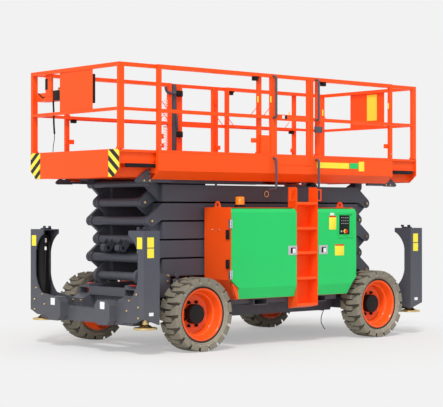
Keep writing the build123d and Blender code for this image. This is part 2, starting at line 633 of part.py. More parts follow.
def module_frame():
    """Left module: a folded box, open towards its doors, with the ladder bay between them."""
    face = make_face(Polyline(*[(x, MODULE_IN_Y, z) for x, z in module_outline()], close=True))
    shell = extrude(face, amount=MODULE_OUT_Y - MODULE_IN_Y, dir=(0, 1, 0))
    hollow = extrude(offset(face, -SHEET), amount=MODULE_OUT_Y, dir=(0, 1, 0))
    shell -= Pos(0, SHEET, 0) * hollow
    # the front plate and the arch slope reach out to the door's face
    x, slope_y = MODULE_FRONT_X, DOOR_OUT_Y - 20
    shell += block(x - SHEET, x, MODULE_OUT_Y - 1, DOOR_OUT_Y - 2, ARCH_TOP_Z, MODULE_TOP_Z)
    slope = [(x, ARCH_TOP_Z), (x - SHEET, ARCH_TOP_Z)]
    slope += [(ARCH_LOW_X - SHEET, MODULE_LOW_Z), (ARCH_LOW_X, MODULE_LOW_Z)]
    shell += plate_xz(slope, MODULE_OUT_Y - 1, slope_y)
    rib = [(x, ARCH_TOP_Z), (ARCH_LOW_X, MODULE_LOW_Z), (ARCH_LOW_X + 52, MODULE_LOW_Z + 80)]
    for y in (MODULE_IN_Y, EYE_PLATE_Y, slope_y - SHEET):
        shell += plate_xz(rib, y, y + SHEET)
    jamb_x = MODULE_REAR_X + 4 * SHEET
    shell += block(MODULE_REAR_X, jamb_x, MODULE_OUT_Y - SHEET, MODULE_OUT_Y, 800, MODULE_TOP_Z)
    bay0, bay1 = LADDER_REAR_X - CLEAR, LADDER_FRONT_X + CLEAR
    shell -= block(bay0, bay1, LADDER_BACK_Y, MODULE_OUT_Y + 1, 0, 2000)
    for x in (bay0 - SHEET, bay1):
        shell += block(x, x + SHEET, LADDER_BACK_Y - SHEET, MODULE_OUT_Y, MODULE_LOW_Z, MODULE_TOP_Z)
    shell += block(bay0, bay1, LADDER_BACK_Y - SHEET, LADDER_BACK_Y, MODULE_LOW_Z, MODULE_TOP_Z)
    x, y = FRONT_HINGE
    rear_x = REAR_DOOR_X - HINGE_OFF
    for z in DOOR_HINGE_ZS:
        shell += fixed_hinge_half(x, y, z, (MODULE_FRONT_X - 1, MODULE_FRONT_X + HINGE_LEAF, y - 40, y))
        rear_leaf = (rear_x - 4, rear_x + 4, MODULE_OUT_Y, REAR_HINGE_Y)
        shell += fixed_hinge_half(rear_x, REAR_HINGE_Y, z, rear_leaf)
    for x in EYE_PLATE_XS:
        shell += lifting_eye(x)
    return shell


def door(outline):
    """Folded door: outline in XZ, pressed outwards with a slanted top and skirt."""
    xs = [x for x, _ in outline]
    x0, x1 = min(xs), max(xs)

    def pressed(inset):
        face = make_face(Polyline(*[(x, 900, z) for x, z in outline], close=True))
        if inset:
            face = offset(face, -inset)
        prism = extrude(face, amount=300, dir=(0, 1, 0))
        fold = [
            (900, MODULE_LOW_Z - 50),
            (DOOR_OUT_Y - 38 - inset, MODULE_LOW_Z - 50 + 56),
            (DOOR_OUT_Y - inset, 690),
            (DOOR_OUT_Y - inset, DOOR_TOP_Z - 44),
            (DOOR_OUT_Y - 30 - inset, DOOR_TOP_Z),
            (900, DOOR_TOP_Z + 20),
        ]
        return prism & plate_yz(fold, x0 - 10, x1 + 10)

    keep = block(x0 - 1, x1 + 1, MODULE_OUT_Y + CLEAR, DOOR_OUT_Y + 5, 0, 2000)
    body = pressed(0) & keep
    body -= pressed(DOOR_WALL)
    return body


def front_door():
    """Front left door, hinged at its front edge."""
    rear_x = LADDER_FRONT_X + 6
    x = FRONT_DOOR_X
    lower_edge = [(rear_x, 562), (874, 562), (874, 690), (x - 12, 772), (x, 785)]
    body = door([(x, DOOR_TOP_Z), (rear_x, DOOR_TOP_Z)] + lower_edge)
    axis_x, axis_y = FRONT_HINGE
    for z in DOOR_HINGE_ZS:
        leaf = (x - 36, axis_x, DOOR_OUT_Y - 1, DOOR_OUT_Y + HINGE_LEAF)
        body += moving_hinge_half(axis_x, axis_y, z, leaf)
    return body


def rear_door():
    """Rear left door, hinged at its rear edge."""
    front_x = LADDER_REAR_X - 6
    x = REAR_DOOR_X
    body = door([(front_x, DOOR_TOP_Z), (x, DOOR_TOP_Z), (x, 765), (-996, 704), (-933, 562), (front_x, 562)])
    axis_x = x - HINGE_OFF
    for z in DOOR_HINGE_ZS:
        leaf = (axis_x, x + DOOR_WALL, REAR_HINGE_Y - 5, REAR_HINGE_Y + 5)
        body += moving_hinge_half(axis_x, REAR_HINGE_Y, z, leaf)
    return body


def ladder():
    """Left ladder: two sheet stringers with hoop handles, a back sheet and five box treads."""
    x0, x1 = LADDER_REAR_X, LADDER_FRONT_X
    back = LADDER_BACK_Y
    body = block(x0, x1, back, back + 5, LADDER_LOW_Z, STEP_ZS[-1])
    top = STEP_ZS[-1] + 20
    outline = [(back, LADDER_LOW_Z), (DOOR_OUT_Y, LADDER_LOW_Z), (DOOR_OUT_Y, LADDER_TOP_Z - 25)]
    outline += [(DOOR_OUT_Y - 20, LADDER_TOP_Z), (back, LADDER_TOP_Z)]
    for side, xa in ((-1, x0), (1, x1 - STRINGER)):
        body += plate_yz(outline, xa, xa + STRINGER)
        outer = xa if side < 0 else xa + STRINGER
        grip = outer + side * HOOP_OUT
        body += bar_z(grip, HOOP_Y, HOOP_RADIUS, top, LADDER_TOP_Z - 30)
        for z in (top, LADDER_TOP_Z - 30):
            body += bar_x(HOOP_Y, z, HOOP_RADIUS, outer - side, grip + side * HOOP_RADIUS)
    for z in STEP_ZS:
        tread = [(back, z - 60), (DOOR_OUT_Y, z - 30), (DOOR_OUT_Y, z), (back, z)]
        body += plate_yz(tread, x0, x1)
    return body


# ---------------------------------------------------------------- platform
def platform_deck():
    """Main deck: plate with a tread plate between the gates, toe boards, side beams and cross members."""
    x, y = DECK_HALF_X, DECK_HALF_Y
    inner = y - TOE_PLATE
    body = block(-x, x, -inner, inner, DECK_TOP_Z - DECK_PLATE, DECK_TOP_Z)
    front, back = FRONT_INNER_X - CLEAR, CLEAR - REAR_INNER_X
    edge = RAIL_IN_Y - CLEAR
    body += block(back, front, -edge, edge, DECK_TOP_Z - 1, DECK_TOP_Z + TREAD_PLATE)
    toe = block(-x, x, inner, y, SIDE_LOW_Z, TOE_TOP_Z)
    for z in (SIDE_LOW_Z, TOE_TOP_Z - 24):
        toe += block(-x, x, y - 1, y + TOE_RIM, z, z + 24)
    toe -= block(GATE_REAR_X, GATE_FRONT_X, inner - 10, y + 5, DECK_TOP_Z + 5, TOE_TOP_Z + 5)
    wall = 12
    taper = plate_yz(
        [
            (y, SIDE_LOW_Z + 30),
            (y - wall, SIDE_LOW_Z + 30),
            (y - wall, SIDE_LOW_Z + 4),
            (FRAME_HALF_Y - 5, FRAME_LOW_Z + 10),
            (FRAME_HALF_Y - 100, FRAME_LOW_Z + 10),
            (FRAME_HALF_Y - 100, FRAME_LOW_Z),
            (FRAME_HALF_Y, FRAME_LOW_Z),
            (y, SIDE_LOW_Z),
        ],
        -x,
        x,
    )
    body += both(toe + taper)
    half_member = [(y - 26, DECK_TOP_Z - 10), (y - 26, SIDE_LOW_Z + 22), (FRAME_HALF_Y - 10, TRACK_TOP_Z)]
    member = half_member + [(-w, z) for w, z in reversed(half_member)]
    for middle, half_width in ((-PIN_X, 60), (-1400, 35), (-700, 35), (0, 35), (700, 35), (1400, 35)):
        body += plate_yz(member, middle - half_width, middle + half_width)
    for end in (1, -1):
        body += block(end * (x - 20), end * x, 16 - y, y - 16, SIDE_LOW_Z - 28, DECK_TOP_Z)
    return body


def scissor_tracks():
    """Tracks for the top front rollers and ears for the top rear pins, under the deck."""
    top = level(1)
    seat = top + TOP_ROLLER_RADIUS + GAP
    track = block(60, DECK_HALF_X - 30, 470, 608, seat, TRACK_TOP_Z)
    for y0 in (470, 602):
        track += block(60, DECK_HALF_X - 30, y0, y0 + 6, top + 6, seat)
    y0 = (INNER_IN + INNER_OUT + LAP_GAP) / 2
    ear = block(-PIN_X - LUG_RADIUS, -PIN_X + LUG_RADIUS, y0, INNER_OUT, top, TRACK_TOP_Z)
    ear += bar_y(-PIN_X, top, LUG_RADIUS, y0, INNER_OUT)
    ear += bar_y(-PIN_X, top, PIN_RADIUS, INNER_IN - PIN_CAP, INNER_OUT + PIN_CAP)
    return [track, far(track), ear, far(ear)]


def side_rails(x0, x1):
    """One run of the left guard rail with its two end posts."""
    body = block(x0, x1, RAIL_IN_Y, RAIL_OUT_Y, RAIL_UNDER, RAIL_TOP)
    body += block(x0, x1, RAIL_IN_Y, RAIL_OUT_Y, MID_UNDER, MID_TOP)
    for xa in (x0, x1 - POST):
        body += block(xa, xa + POST, RAIL_IN_Y, RAIL_OUT_Y - TOE_PLATE, DECK_TOP_Z, MID_UNDER)
        body += block(xa, xa + POST, RAIL_IN_Y, RAIL_OUT_Y, TOE_TOP_Z, RAIL_UNDER)
    return body


def platform_rails():
    """Four runs of guard rail, one each side of each gate."""
    front, back = side_rails(GATE_FRONT_X, DECK_HALF_X), side_rails(-DECK_HALF_X, GATE_REAR_X)
    x, y = GATE_HINGE
    for z in GATE_HINGE_ZS:
        back += fixed_hinge_half(x, y, z, (x - 20, x, y - 5, RAIL_IN_Y))
    runs = [front, back]
    return runs + [far(r) for r in runs]


def gate():
    """Left gate, hinged at its rear edge and opening inwards."""
    x0, x1 = GATE_REAR_X + 5, GATE_FRONT_X - 5
    y0, y1 = RAIL_IN_Y + 2, RAIL_OUT_Y - 2
    body = block(x0, x1, y0, y1, RAIL_UNDER, RAIL_TOP)
    low = DECK_TOP_Z + 12
    body += block(x0, x1, y0, y1, MID_UNDER - 12, MID_TOP + 18)
    body += block(x0, x1, y0 + 10, y1 - 10, low, low + 82)
    body += block(x0, x1, y1 - 5, y1, low, TOE_TOP_Z)
    for xa in (x0, x1 - 40):
        body += block(xa, xa + 40, y0, y1, low, RAIL_UNDER)
    x, y = GATE_HINGE
    for z in GATE_HINGE_ZS:
        body += moving_hinge_half(x, y, z, (x, x + 20, y - 5, y0 + 2))
    return body


def extension_deck(inner_x):
    """Roll-out deck, drawn at the front: floor, channel sills, end plate and the beams that stick out."""
    y = EXT_OUT_Y
    end = EXT_END_X
    out = DECK_HALF_X + 10
    web = y - EXT_WEB_IN
    body = block(inner_x, end - EXT_PLATE, -web, web, EXT_FLOOR_Z, EXT_FLOOR_Z + EXT_PLATE)
    sill = block(inner_x, end, web - 8, web, EXT_FLOOR_Z, EXT_TOE_Z)
    sill += block(inner_x, end, web - 8, y, EXT_TOE_Z - 8, EXT_TOE_Z)
    sill += block(inner_x, end, y - 6, y, EXT_TOE_Z - EXT_LIP, EXT_TOE_Z)
    sill += block(out, end, web - 8, web, EXT_SILL_Z, EXT_FLOOR_Z)
    sill += block(out, end, web - 8, y, EXT_SILL_Z, EXT_SILL_Z + 8)
    sill += block(inner_x, DECK_HALF_X - 30, *RUNNER_Y, DECK_TOP_Z + GAP, EXT_FLOOR_Z)
    sill += block(out, end, EXT_BEAM_Y - 60, EXT_BEAM_Y, EXT_LOW_Z, EXT_BEAM_Z)
    body += both(sill)
    half_nose = [(y + 4, EXT_TOE_Z + 5), (y + 4, EXT_LOW_Z + 86), (EXT_BEAM_Y - 6, EXT_LOW_Z - 6)]
    body += plate_yz(half_nose + [(-w, z) for w, z in reversed(half_nose)], end - EXT_PLATE, end)
    for x in (out, (out + end) / 2):
        body += block(x, x + 40, 8 - web, web - 8, EXT_SILL_Z, EXT_FLOOR_Z)
        body += block(x, x + 40, -EXT_BEAM_Y, EXT_BEAM_Y, EXT_LOW_Z, EXT_FLOOR_Z)
    return body


def extension_rails(inner_x, panel):
    """Guard rail of a roll-out deck, drawn at the front: two sides, the end and a bare sign panel."""
    web = EXT_OUT_Y - EXT_WEB_IN
    end = EXT_END_X
    low = EXT_FLOOR_Z + EXT_PLATE
    side = block(inner_x, end, EXT_IN_Y, EXT_OUT_Y, RAIL_UNDER, RAIL_TOP)
    side += block(inner_x, end, EXT_IN_Y, EXT_OUT_Y, EXT_MID_UNDER, EXT_MID_TOP)
    split = EXT_TOE_Z + 6
    for xa, wide in ((inner_x, POST), (end - 70, 70)):
        side += block(xa, min(xa + wide, end - EXT_PLATE), EXT_IN_Y - 16, web - 8, low, split)
        side += block(xa, xa + wide, EXT_IN_Y - 16, EXT_OUT_Y, split, split + 20)
        side += block(xa, xa + wide, EXT_IN_Y, EXT_OUT_Y, split + 20, RAIL_UNDER)
    body = both(side)
    body += block(end - 42, end, -EXT_OUT_Y, EXT_OUT_Y, RAIL_UNDER, RAIL_TOP)
    body += block(end - 42, end, -EXT_OUT_Y, EXT_OUT_Y, EXT_MID_UNDER, EXT_MID_TOP)
    y0, y1 = panel
    body += block(end - 14, end - 8, y0, y1, PANEL_LOW_Z, RAIL_UNDER + 6)
    return body


def console():
    """Control box in a tray that hangs from the front rail, with its joystick and stop button."""
    x1 = EXT_END_X - 42
    body = block(x1 - 6, x1, -690, -540, CONSOLE_LOW_Z, RAIL_UNDER)
    body += block(x1 - 150, x1 - 6, -790, -540, CONSOLE_LOW_Z, CONSOLE_LOW_Z + 100)
    body += block(x1 - 150, x1 - 12, -540, -300, CONSOLE_LOW_Z, CONSOLE_LOW_Z + 120)
    body += bar_z(x1 - 80, -460, 22, CONSOLE_LOW_Z + 120, CONSOLE_LOW_Z + 150)
    body += bar_z(x1 - 70, -640, 12, CONSOLE_LOW_Z + 100, CONSOLE_LOW_Z + 190)
    return body


def console_cables():
    """Thick lead that hangs from the console and the thin wire that goes on to the floor."""
    x, y = CABLE_PLUG
    floor = EXT_FLOOR_Z + EXT_PLATE
    lead = [(x, y, CONSOLE_LOW_Z), (x - 6, y + 4, 2725), (x, y + 10, 2590), (x + 6, y + 36, 2468)]
    wire = [
        lead[-1],
        (x + 2, y + 30, 2400),
        (x, y + 2, 2330),
        (x - 6, y - 14, 2250),
        (x - 20, y - 10, 2180),
        (x - 34, y - 2, floor),
    ]
    return cord_tube(lead, CONSOLE_LEAD), cord_tube(wire, CONSOLE_WIRE)


def earth_strap():
    """Strap that trails from the left chassis beam."""
    y = BEAM_OUT - 20
    route = [(-1037, y, BEAM_LOW_Z), (-1003, y, 277), (-984, y + 3, 217), (-994, y, 150), (-1060, y, 84)]
    return cord_tube(route, EARTH_STRAP)


def extension_support():
    """Bolted bracket under a main deck corner that carries the roll-out deck, front left."""
    x, low = DECK_HALF_X, FRAME_LOW_Z
    y0 = EXT_BEAM_Y + CLEAR
    outline = [(x - 22, low - 37), (x + 196, low - 39), (x + 223, low - 21), (x + 206, low + 2)]
    outline += [(x + 49, low + 111), (x + 6, low + 111), (x + 6, low - 1), (x - 22, low - 1)]
    plate = plate_xz(outline, y0, y0 + 12)
    plate -= plate_xz([(x + 76, low + 20), (x + 130, low + 21), (x + 90, low + 54)], y0 - 1, y0 + 13)
    beam = block(x - 315, x - 22, y0 - 28, y0 + 12, low - 30, low - GAP)
    return plate + beam


def grab_bars():
    """Round grab bars outside both gate posts, drawn on the left."""
    bars = []
    y = RAIL_OUT_Y + GRAB_OUT
    r = GRAB_RADIUS
    upper = (MID_UNDER + r, RAIL_UNDER + r)
    for x in GRAB_XS:
        upright = bar_z(x, y, r, upper[0] - r - 6, upper[1] + r + 6)
        for z in upper:
            upright += bar_y(x, z, r, RAIL_OUT_Y, y + r)
        low, high = FRAME_LOW_Z - 96, TOE_TOP_Z - 53
        lower = bar_z(x, y, r, low - r, high + r + 6)
        for z, start_y in ((high, DECK_HALF_Y), (low, y - 120)):
            lower += bar_y(x, z, r, start_y, y + r)
        bars += [upright, lower]
    return bars + [far(b) for b in bars]


def beacon():
    """Amber beacon on the left module."""
    x, y, z = 650, EYE_PLATE_Y, MODULE_TOP_Z
    body = bar_z(x, y, 64, z, z + 14) + bar_z(x, y, 56, z + 14, z + 40)
    return body + bar_z(x, y, 48, z + 40, z + 126)


# ---------------------------------------------------------------- assembly
os.makedirs("parts", exist_ok=True)
nodes = {}
nodes["chassis_beams"] = Compound(chassis_beams())
nodes["cross_members"] = Compound(cross_members())
nodes["fork_pockets"] = fork_pockets()
nodes["front_axle"] = front_axle()
nodes["rear_axle"] = rear_axle()
nodes["knuckle_left"] = knuckle()
nodes["knuckle_right"] = far(nodes["knuckle_left"])

plain_tyre, plain_wheel = tyre(), wheel()
for name, x, side in (
    ("front_left", WHEEL_BASE / 2, 1),
    ("front_right", WHEEL_BASE / 2, -1),
    ("rear_left", -WHEEL_BASE / 2, 1),
    ("rear_right", -WHEEL_BASE / 2, -1),
):
    place = Pos(x, side * WHEEL_Y, TYRE_RADIUS)
    nodes[f"tyre_{name}"] = place * (plain_tyre if side > 0 else far(plain_tyre))
    nodes[f"wheel_{name}"] = place * (plain_wheel if side > 0 else far(plain_wheel))

nodes["outrigger_front"] = outrigger_frame()
nodes["outrigger_rear"] = rear(nodes["outrigger_front"])
cylinder = leg_cylinder()
nodes["leg_cylinders"] = Compound([cylinder, far(cylinder), rear(cylinder), rear(far(cylinder))])
pad = foot()
nodes["foot_front_left"] = pad
nodes["foot_front_right"] = far(pad)
nodes["foot_rear_left"] = rear(pad)
nodes["foot_rear_right"] = rear(far(pad))

for section in range(1, SECTIONS + 1):
    nodes[f"outer_arms_{section}"] = arm_pair(section, True)
    nodes[f"inner_arms_{section}"] = arm_pair(section, False)
nodes["outer_arms_5"] += eye_bracket(LOWER_PIN, LOWER_EYE)
nodes["inner_arms_3"] += eye_bracket(UPPER_PIN, UPPER_EYE)
nodes["lift_barrels"] = lift_barrels()
nodes["lift_rods"] = lift_rods()

nodes["module_left"] = module_frame()
nodes["module_right"] = far(nodes["module_left"])
engine = block(120, 850, 640, 920, MODULE_LOW_Z + SHEET, 1250)
tank = block(-890, -480, -900, -640, MODULE_LOW_Z + SHEET, 1150)
nodes["engine_and_tank"] = Compound([engine, tank])
nodes["door_front_left"] = front_door()
nodes["door_rear_left"] = rear_door()
nodes["door_front_right"] = far(nodes["door_front_left"])
nodes["door_rear_right"] = far(nodes["door_rear_left"])
nodes["ladder_left"] = ladder()
nodes["ladder_right"] = far(nodes["ladder_left"])
nodes["beacon"] = beacon()

nodes["platform_deck"] = platform_deck()
nodes["scissor_tracks"] = Compound(scissor_tracks())
nodes["platform_rails"] = Compound(platform_rails())
nodes["gate_left"] = gate()
nodes["gate_right"] = far(nodes["gate_left"])
nodes["front_extension_deck"] = extension_deck(FRONT_INNER_X)
nodes["rear_extension_deck"] = rear(extension_deck(REAR_INNER_X))
nodes["front_extension_rails"] = extension_rails(FRONT_INNER_X, (-277, 356))
nodes["rear_extension_rails"] = rear(extension_rails(REAR_INNER_X, (-310, 310)))
nodes["console"] = console()
support = extension_support()
nodes["extension_supports"] = Compound([support, far(support), rear(support), rear(far(support))])
nodes["grab_bars"] = Compound(grab_bars())
box_x = GATE_FRONT_X + POST
box_z = TOE_TOP_Z - 36
nodes["document_box"] = block(box_x, box_x + 150, RAIL_IN_Y + 2, DECK_HALF_Y - TOE_PLATE, box_z, box_z + 255)

nodes["console_lead"], nodes["console_wire"] = console_cables()
nodes["earth_strap"] = earth_strap()

for name, shape in nodes.items():
    export_step(shape, f"parts/{name}.step")
print(len(nodes), "nodes")
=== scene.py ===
"""Looks of a rough-terrain scissor lift: finishes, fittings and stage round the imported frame."""

import json
import math

import bmesh
import bpy
import numpy as np
from bpy.props import FloatProperty, FloatVectorProperty, IntProperty, PointerProperty
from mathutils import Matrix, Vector

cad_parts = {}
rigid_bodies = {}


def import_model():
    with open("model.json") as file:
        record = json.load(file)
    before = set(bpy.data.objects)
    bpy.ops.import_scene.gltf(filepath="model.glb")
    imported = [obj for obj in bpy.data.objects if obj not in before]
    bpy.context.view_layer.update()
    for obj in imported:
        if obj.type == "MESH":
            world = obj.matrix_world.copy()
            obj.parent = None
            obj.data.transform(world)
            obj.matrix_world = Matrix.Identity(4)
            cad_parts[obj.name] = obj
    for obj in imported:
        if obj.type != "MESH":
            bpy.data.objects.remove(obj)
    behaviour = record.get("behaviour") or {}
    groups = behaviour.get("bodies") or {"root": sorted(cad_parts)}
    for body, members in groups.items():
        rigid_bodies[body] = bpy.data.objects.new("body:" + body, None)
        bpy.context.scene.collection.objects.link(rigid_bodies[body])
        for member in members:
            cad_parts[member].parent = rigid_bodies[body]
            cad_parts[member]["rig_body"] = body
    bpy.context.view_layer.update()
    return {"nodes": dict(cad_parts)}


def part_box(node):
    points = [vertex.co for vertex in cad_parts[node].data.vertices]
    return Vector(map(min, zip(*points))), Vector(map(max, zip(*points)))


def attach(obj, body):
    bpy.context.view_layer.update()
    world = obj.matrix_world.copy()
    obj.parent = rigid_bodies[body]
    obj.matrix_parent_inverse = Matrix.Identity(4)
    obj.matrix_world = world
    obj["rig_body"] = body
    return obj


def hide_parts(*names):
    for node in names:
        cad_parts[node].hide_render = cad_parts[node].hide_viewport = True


bl_info = {
    "name": "Scissor lift looks",
    "version": (1, 0, 0),
    "blender": (4, 5, 0),
    "location": "3D View > Sidebar > Scissor lift",
    "description": "Paint, tyres, fittings, cords and stage for a scissor lift",
    "category": "Object",
}

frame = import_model()
SIDES = (("left", 1), ("right", -1))
WHEELS = ("front_left", "front_right", "rear_left", "rear_right")

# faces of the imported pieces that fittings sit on
DOOR_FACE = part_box("door_rear_left")[1][1]
_, RAIL_FACE, RAIL_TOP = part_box("platform_rails")[1]
TOE_TOP = RAIL_TOP - 0.948
MID_RAIL, TOP_RAIL = RAIL_TOP - 0.518, RAIL_TOP - 0.029

# scissor: end pins, sections and the faces of the outer and inner arms
PIN_X, LOW_PIN_Z, SECTION_RISE, SECTIONS = 1.76, 0.82, 0.2128, 5
PIN_LEVELS = [LOW_PIN_Z + (SECTIONS - k) * SECTION_RISE for k in range(SECTIONS + 1)]
ARM_FACES = (("outer", 0.49, 0.59), ("inner", 0.357, 0.457))

# outrigger legs, door hinges and the backdrop's tone
LEG_X, LEG_Y, LEG_FACE_X, LEG_OUT_Y = 2.155, 0.985, 2.265, 1.097
LABEL_THICK, EAR_FACE = 0.0015, 0.625
HINGE_LEVELS = (0.846, 1.425)
BACKDROP = 0.888


# ---------------------------------------------------------------- shapes as whole arrays
def grid(points, closed_u=False, closed_v=False, caps=False):
    """Surface from a grid of points, rows along u and columns along v: a face between each four of them."""
    rows, columns = points.shape[:2]
    index = np.arange(rows * columns).reshape(rows, columns)
    ends = [index[0].tolist(), index[-1][::-1].tolist()] if caps else []
    if closed_v:
        index = np.hstack([index, index[:, :1]])
    if closed_u:
        index = np.vstack([index, index[:1]])
    faces = np.stack([index[:-1, :-1], index[1:, :-1], index[1:, 1:], index[:-1, 1:]], axis=-1)
    return points.reshape(-1, 3), faces.reshape(-1, 4).tolist() + ends


def soft_box(low, high, edge=0.002, steps=2):
    """Box with round edges: a corner of an inner box plus the edge radius along a sphere's normal."""
    low, high = np.array(low, float), np.array(high, float)
    edge = min(edge, (high - low).min() / 2.02)
    quarter = np.linspace(0, np.pi / 2, steps + 1)
    turn = np.concatenate([quarter + q * np.pi / 2 for q in range(4)])[None, :]
    rise = np.concatenate([quarter - np.pi / 2, quarter])[:, None]
    sign_x = np.repeat([1, -1, -1, 1], steps + 1)[None, :]
    sign_y = np.repeat([1, 1, -1, -1], steps + 1)[None, :]
    sign_z = np.repeat([-1, 1], steps + 1)[:, None]
    middle, half = (low + high) / 2, (high - low) / 2 - edge
    x = middle[0] + sign_x * half[0] + edge * np.cos(rise) * np.cos(turn)
    y = middle[1] + sign_y * half[1] + edge * np.cos(rise) * np.sin(turn)
    z = middle[2] + sign_z * half[2] + edge * np.sin(rise) + 0 * turn
    return grid(np.stack([x, y, z], axis=-1), closed_v=True, caps=True)


def side_box(side, low, high, edge=0.002, steps=2):
    """Soft box given for the left side, at its place on the left (side 1) or on the right (side -1)."""
    near, far = sorted((side * low[1], side * high[1]))
    return soft_box((low[0], near, low[2]), (high[0], far, high[2]), edge, steps)


def label(low, high):
    """Thin blank plate: a box with hardly rounded edges."""
    return soft_box(low, high, 0.0006, 1)


def across(axis):
    """Two unit vectors square to an axis and to each other."""
    axis = np.array(axis, float)
    first = np.cross(axis, (0, 0, 1) if abs(axis[2]) < 0.9 else (1, 0, 0))
    first /= np.linalg.norm(first)
    return axis, first, np.cross(axis, first)


def turned(profile, centre, axis, steps=40, closed=False):
    """Surface of revolution from rows of (along, radius): centre + along * axis + radius * (cos t, sin t)."""
    axis, first, second = across(axis)
    profile = np.array(profile, float)
    t = np.arange(steps)[:, None] / steps * 2 * np.pi
    ring = np.cos(t) * first + np.sin(t) * second
    points = np.array(centre) + profile[:, :1, None] * axis + profile[:, 1:, None] * ring
    return grid(points, closed_u=closed, closed_v=True, caps=not closed)


def rod(start, end, radius, steps=20, edge=0.001):
    """Round bar between two points: a surface of revolution with a small chamfer at each end."""
    start, end = np.array(start, float), np.array(end, float)
    length = np.linalg.norm(end - start)
    rows = [(0, radius - edge), (edge, radius), (length - edge, radius), (length, radius - edge)]
    return turned(rows, start, (end - start) / length, steps)


def bolt(centre, axis, width=0.024, height=0.012):
    """Hexagon head: a six-sided surface of revolution with its rim cut back."""
    half = width / math.sqrt(3)
    return turned([(0, half), (height * 0.8, half), (height, half * 0.88)], centre, axis, 6)


def bend(points, radius, steps=6):
    """Path with round corners: (1-t)^2 a + 2t(1-t) corner + t^2 b, with a and b a radius from the corner."""
    points = np.array(points, float)
    corner, before, after = points[1:-1, None], points[:-2, None], points[2:, None]
    t = np.linspace(0, 1, steps)[None, :, None]
    a = corner + (before - corner) / np.linalg.norm(before - corner, axis=2, keepdims=True) * radius
    b = corner + (after - corner) / np.linalg.norm(after - corner, axis=2, keepdims=True) * radius
    arcs = (1 - t) ** 2 * a + 2 * t * (1 - t) * corner + t**2 * b
    return np.vstack([points[:1], arcs.reshape(-1, 3), points[-1:]])


def tube(path, radius, flat, steps=12):
    """Circle carried along a path that lies in the plane square to flat: path + radius * (cos t, sin t)."""
    path = np.array(path, float)
    tangent = np.gradient(path, axis=0)
    first = np.cross(tangent, flat)
    first /= np.linalg.norm(first, axis=1, keepdims=True)
    second = np.cross(tangent, first)
    second /= np.linalg.norm(second, axis=1, keepdims=True)
    t = np.arange(steps)[None, :, None] / steps * 2 * np.pi
    points = path[:, None] + radius * (np.cos(t) * first[:, None] + np.sin(t) * second[:, None])
    return grid(points, closed_v=True, caps=True)


def slab(outline, axis, low, high):
    """Flat outline pushed along one axis from low to high: it holds the other two coordinates in order."""
    outline = np.array(outline, float)
    rows = [np.insert(outline, axis, level, axis=1) for level in (low, high)]
    return grid(np.stack(rows), closed_v=True, caps=True)


def flipped(shape):
    """Twin of a shape on the machine's other side, with its faces turned so that they point outwards."""
    points, faces = shape
    return points * (1, -1, 1), [face[::-1] for face in faces]


def placed(name, data):
    """Object for a mesh, curve, lamp or camera, linked to the scene."""
    obj = bpy.data.objects.new(name, data)
    bpy.context.scene.collection.objects.link(obj)
    return obj


def piece(name, shapes, material, body, replaces=(), smooth=35):
    """Joins shapes into one mesh that rides on a body of the frame."""
    points, faces, base = [], [], 0
    for shape_points, shape_faces in shapes:
        points.append(shape_points)
        faces += [[base + corner for corner in face] for face in shape_faces]
        base += len(shape_points)
    mesh = bpy.data.meshes.new(name)
    mesh.from_pydata(np.vstack(points).tolist(), [], faces)
    cleaner = bmesh.new()
    cleaner.from_mesh(mesh)
    bmesh.ops.remove_doubles(cleaner, verts=cleaner.verts, dist=1e-6)
    bmesh.ops.dissolve_degenerate(cleaner, edges=cleaner.edges, dist=1e-7)
    bmesh.ops.recalc_face_normals(cleaner, faces=cleaner.faces)
    cleaner.to_mesh(mesh)
    cleaner.free()
    mesh.shade_smooth()
    mesh.set_sharp_from_angle(angle=math.radians(smooth))
    mesh.materials.append(bpy.data.materials[material])
    obj = placed(name, mesh)
    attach(obj, body)
    if replaces:
        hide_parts(*replaces)


# ---------------------------------------------------------------- finishes
def new_group(name, inputs, outputs):
    """Empty shader node group with named sockets."""
    group = bpy.data.node_groups.new(name, "ShaderNodeTree")
    for label, kind, default in inputs:
        socket = group.interface.new_socket(label, in_out="INPUT", socket_type=kind)
        if default is not None:
            socket.default_value = default
    for label, kind in outputs:
        group.interface.new_socket(label, in_out="OUTPUT", socket_type=kind)
    return group, group.nodes.new("NodeGroupInput"), group.nodes.new("NodeGroupOutput")


def wire(tree, made, inputs):
    """Fills inputs of a node by name or number, each with a link to a socket or with a plain value."""
    for key, value in inputs.items():
        if isinstance(value, bpy.types.NodeSocket):
            tree.links.new(value, made.inputs[key])
        else:
            made.inputs[key].default_value = value
    return made


def shader_node(tree, kind, inputs=None, **settings):
    """New node with its settings and its inputs."""
    made = tree.nodes.new(f"ShaderNode{kind}")
    for key, value in settings.items():
        setattr(made, key, value)
    return wire(tree, made, inputs or {})


def noise_value(tree, vector, scale, detail):
    """Value of a noise texture on a vector."""
    return shader_node(tree, "TexNoise", {"Vector": vector, "Scale": scale, "Detail": detail}).outputs["Fac"]


def math_value(tree, operation, *values, clamp=False):
    """Result of a math node on values that are each a socket or a number."""
    return shader_node(tree, "Math", dict(enumerate(values)), operation=operation, use_clamp=clamp).outputs[0]


def object_place(tree):
    """Place on the piece, in Object coordinates."""
    return shader_node(tree, "TexCoord").outputs["Object"]


def seen_rays(tree):
    """1 on rays from the camera, in gloss and through glass, and 0 on the rest."""
    path = shader_node(tree, "LightPath").outputs
    shine = math_value(tree, "MAXIMUM", path["Is Glossy Ray"], path["Is Transmission Ray"])
    return math_value(tree, "MAXIMUM", shine, path["Is Camera Ray"])


def mixed_colours(tree, factor, first, second):
    """Colour between two colours, each a socket or red, green and blue."""
    inputs = {"Factor": factor, "A": first, "B": second}
    for key in ("A", "B"):
        if not isinstance(inputs[key], bpy.types.NodeSocket):
            inputs[key] = (*inputs[key][:3], 1)
    return shader_node(tree, "Mix", inputs, data_type="RGBA").outputs["Result"]


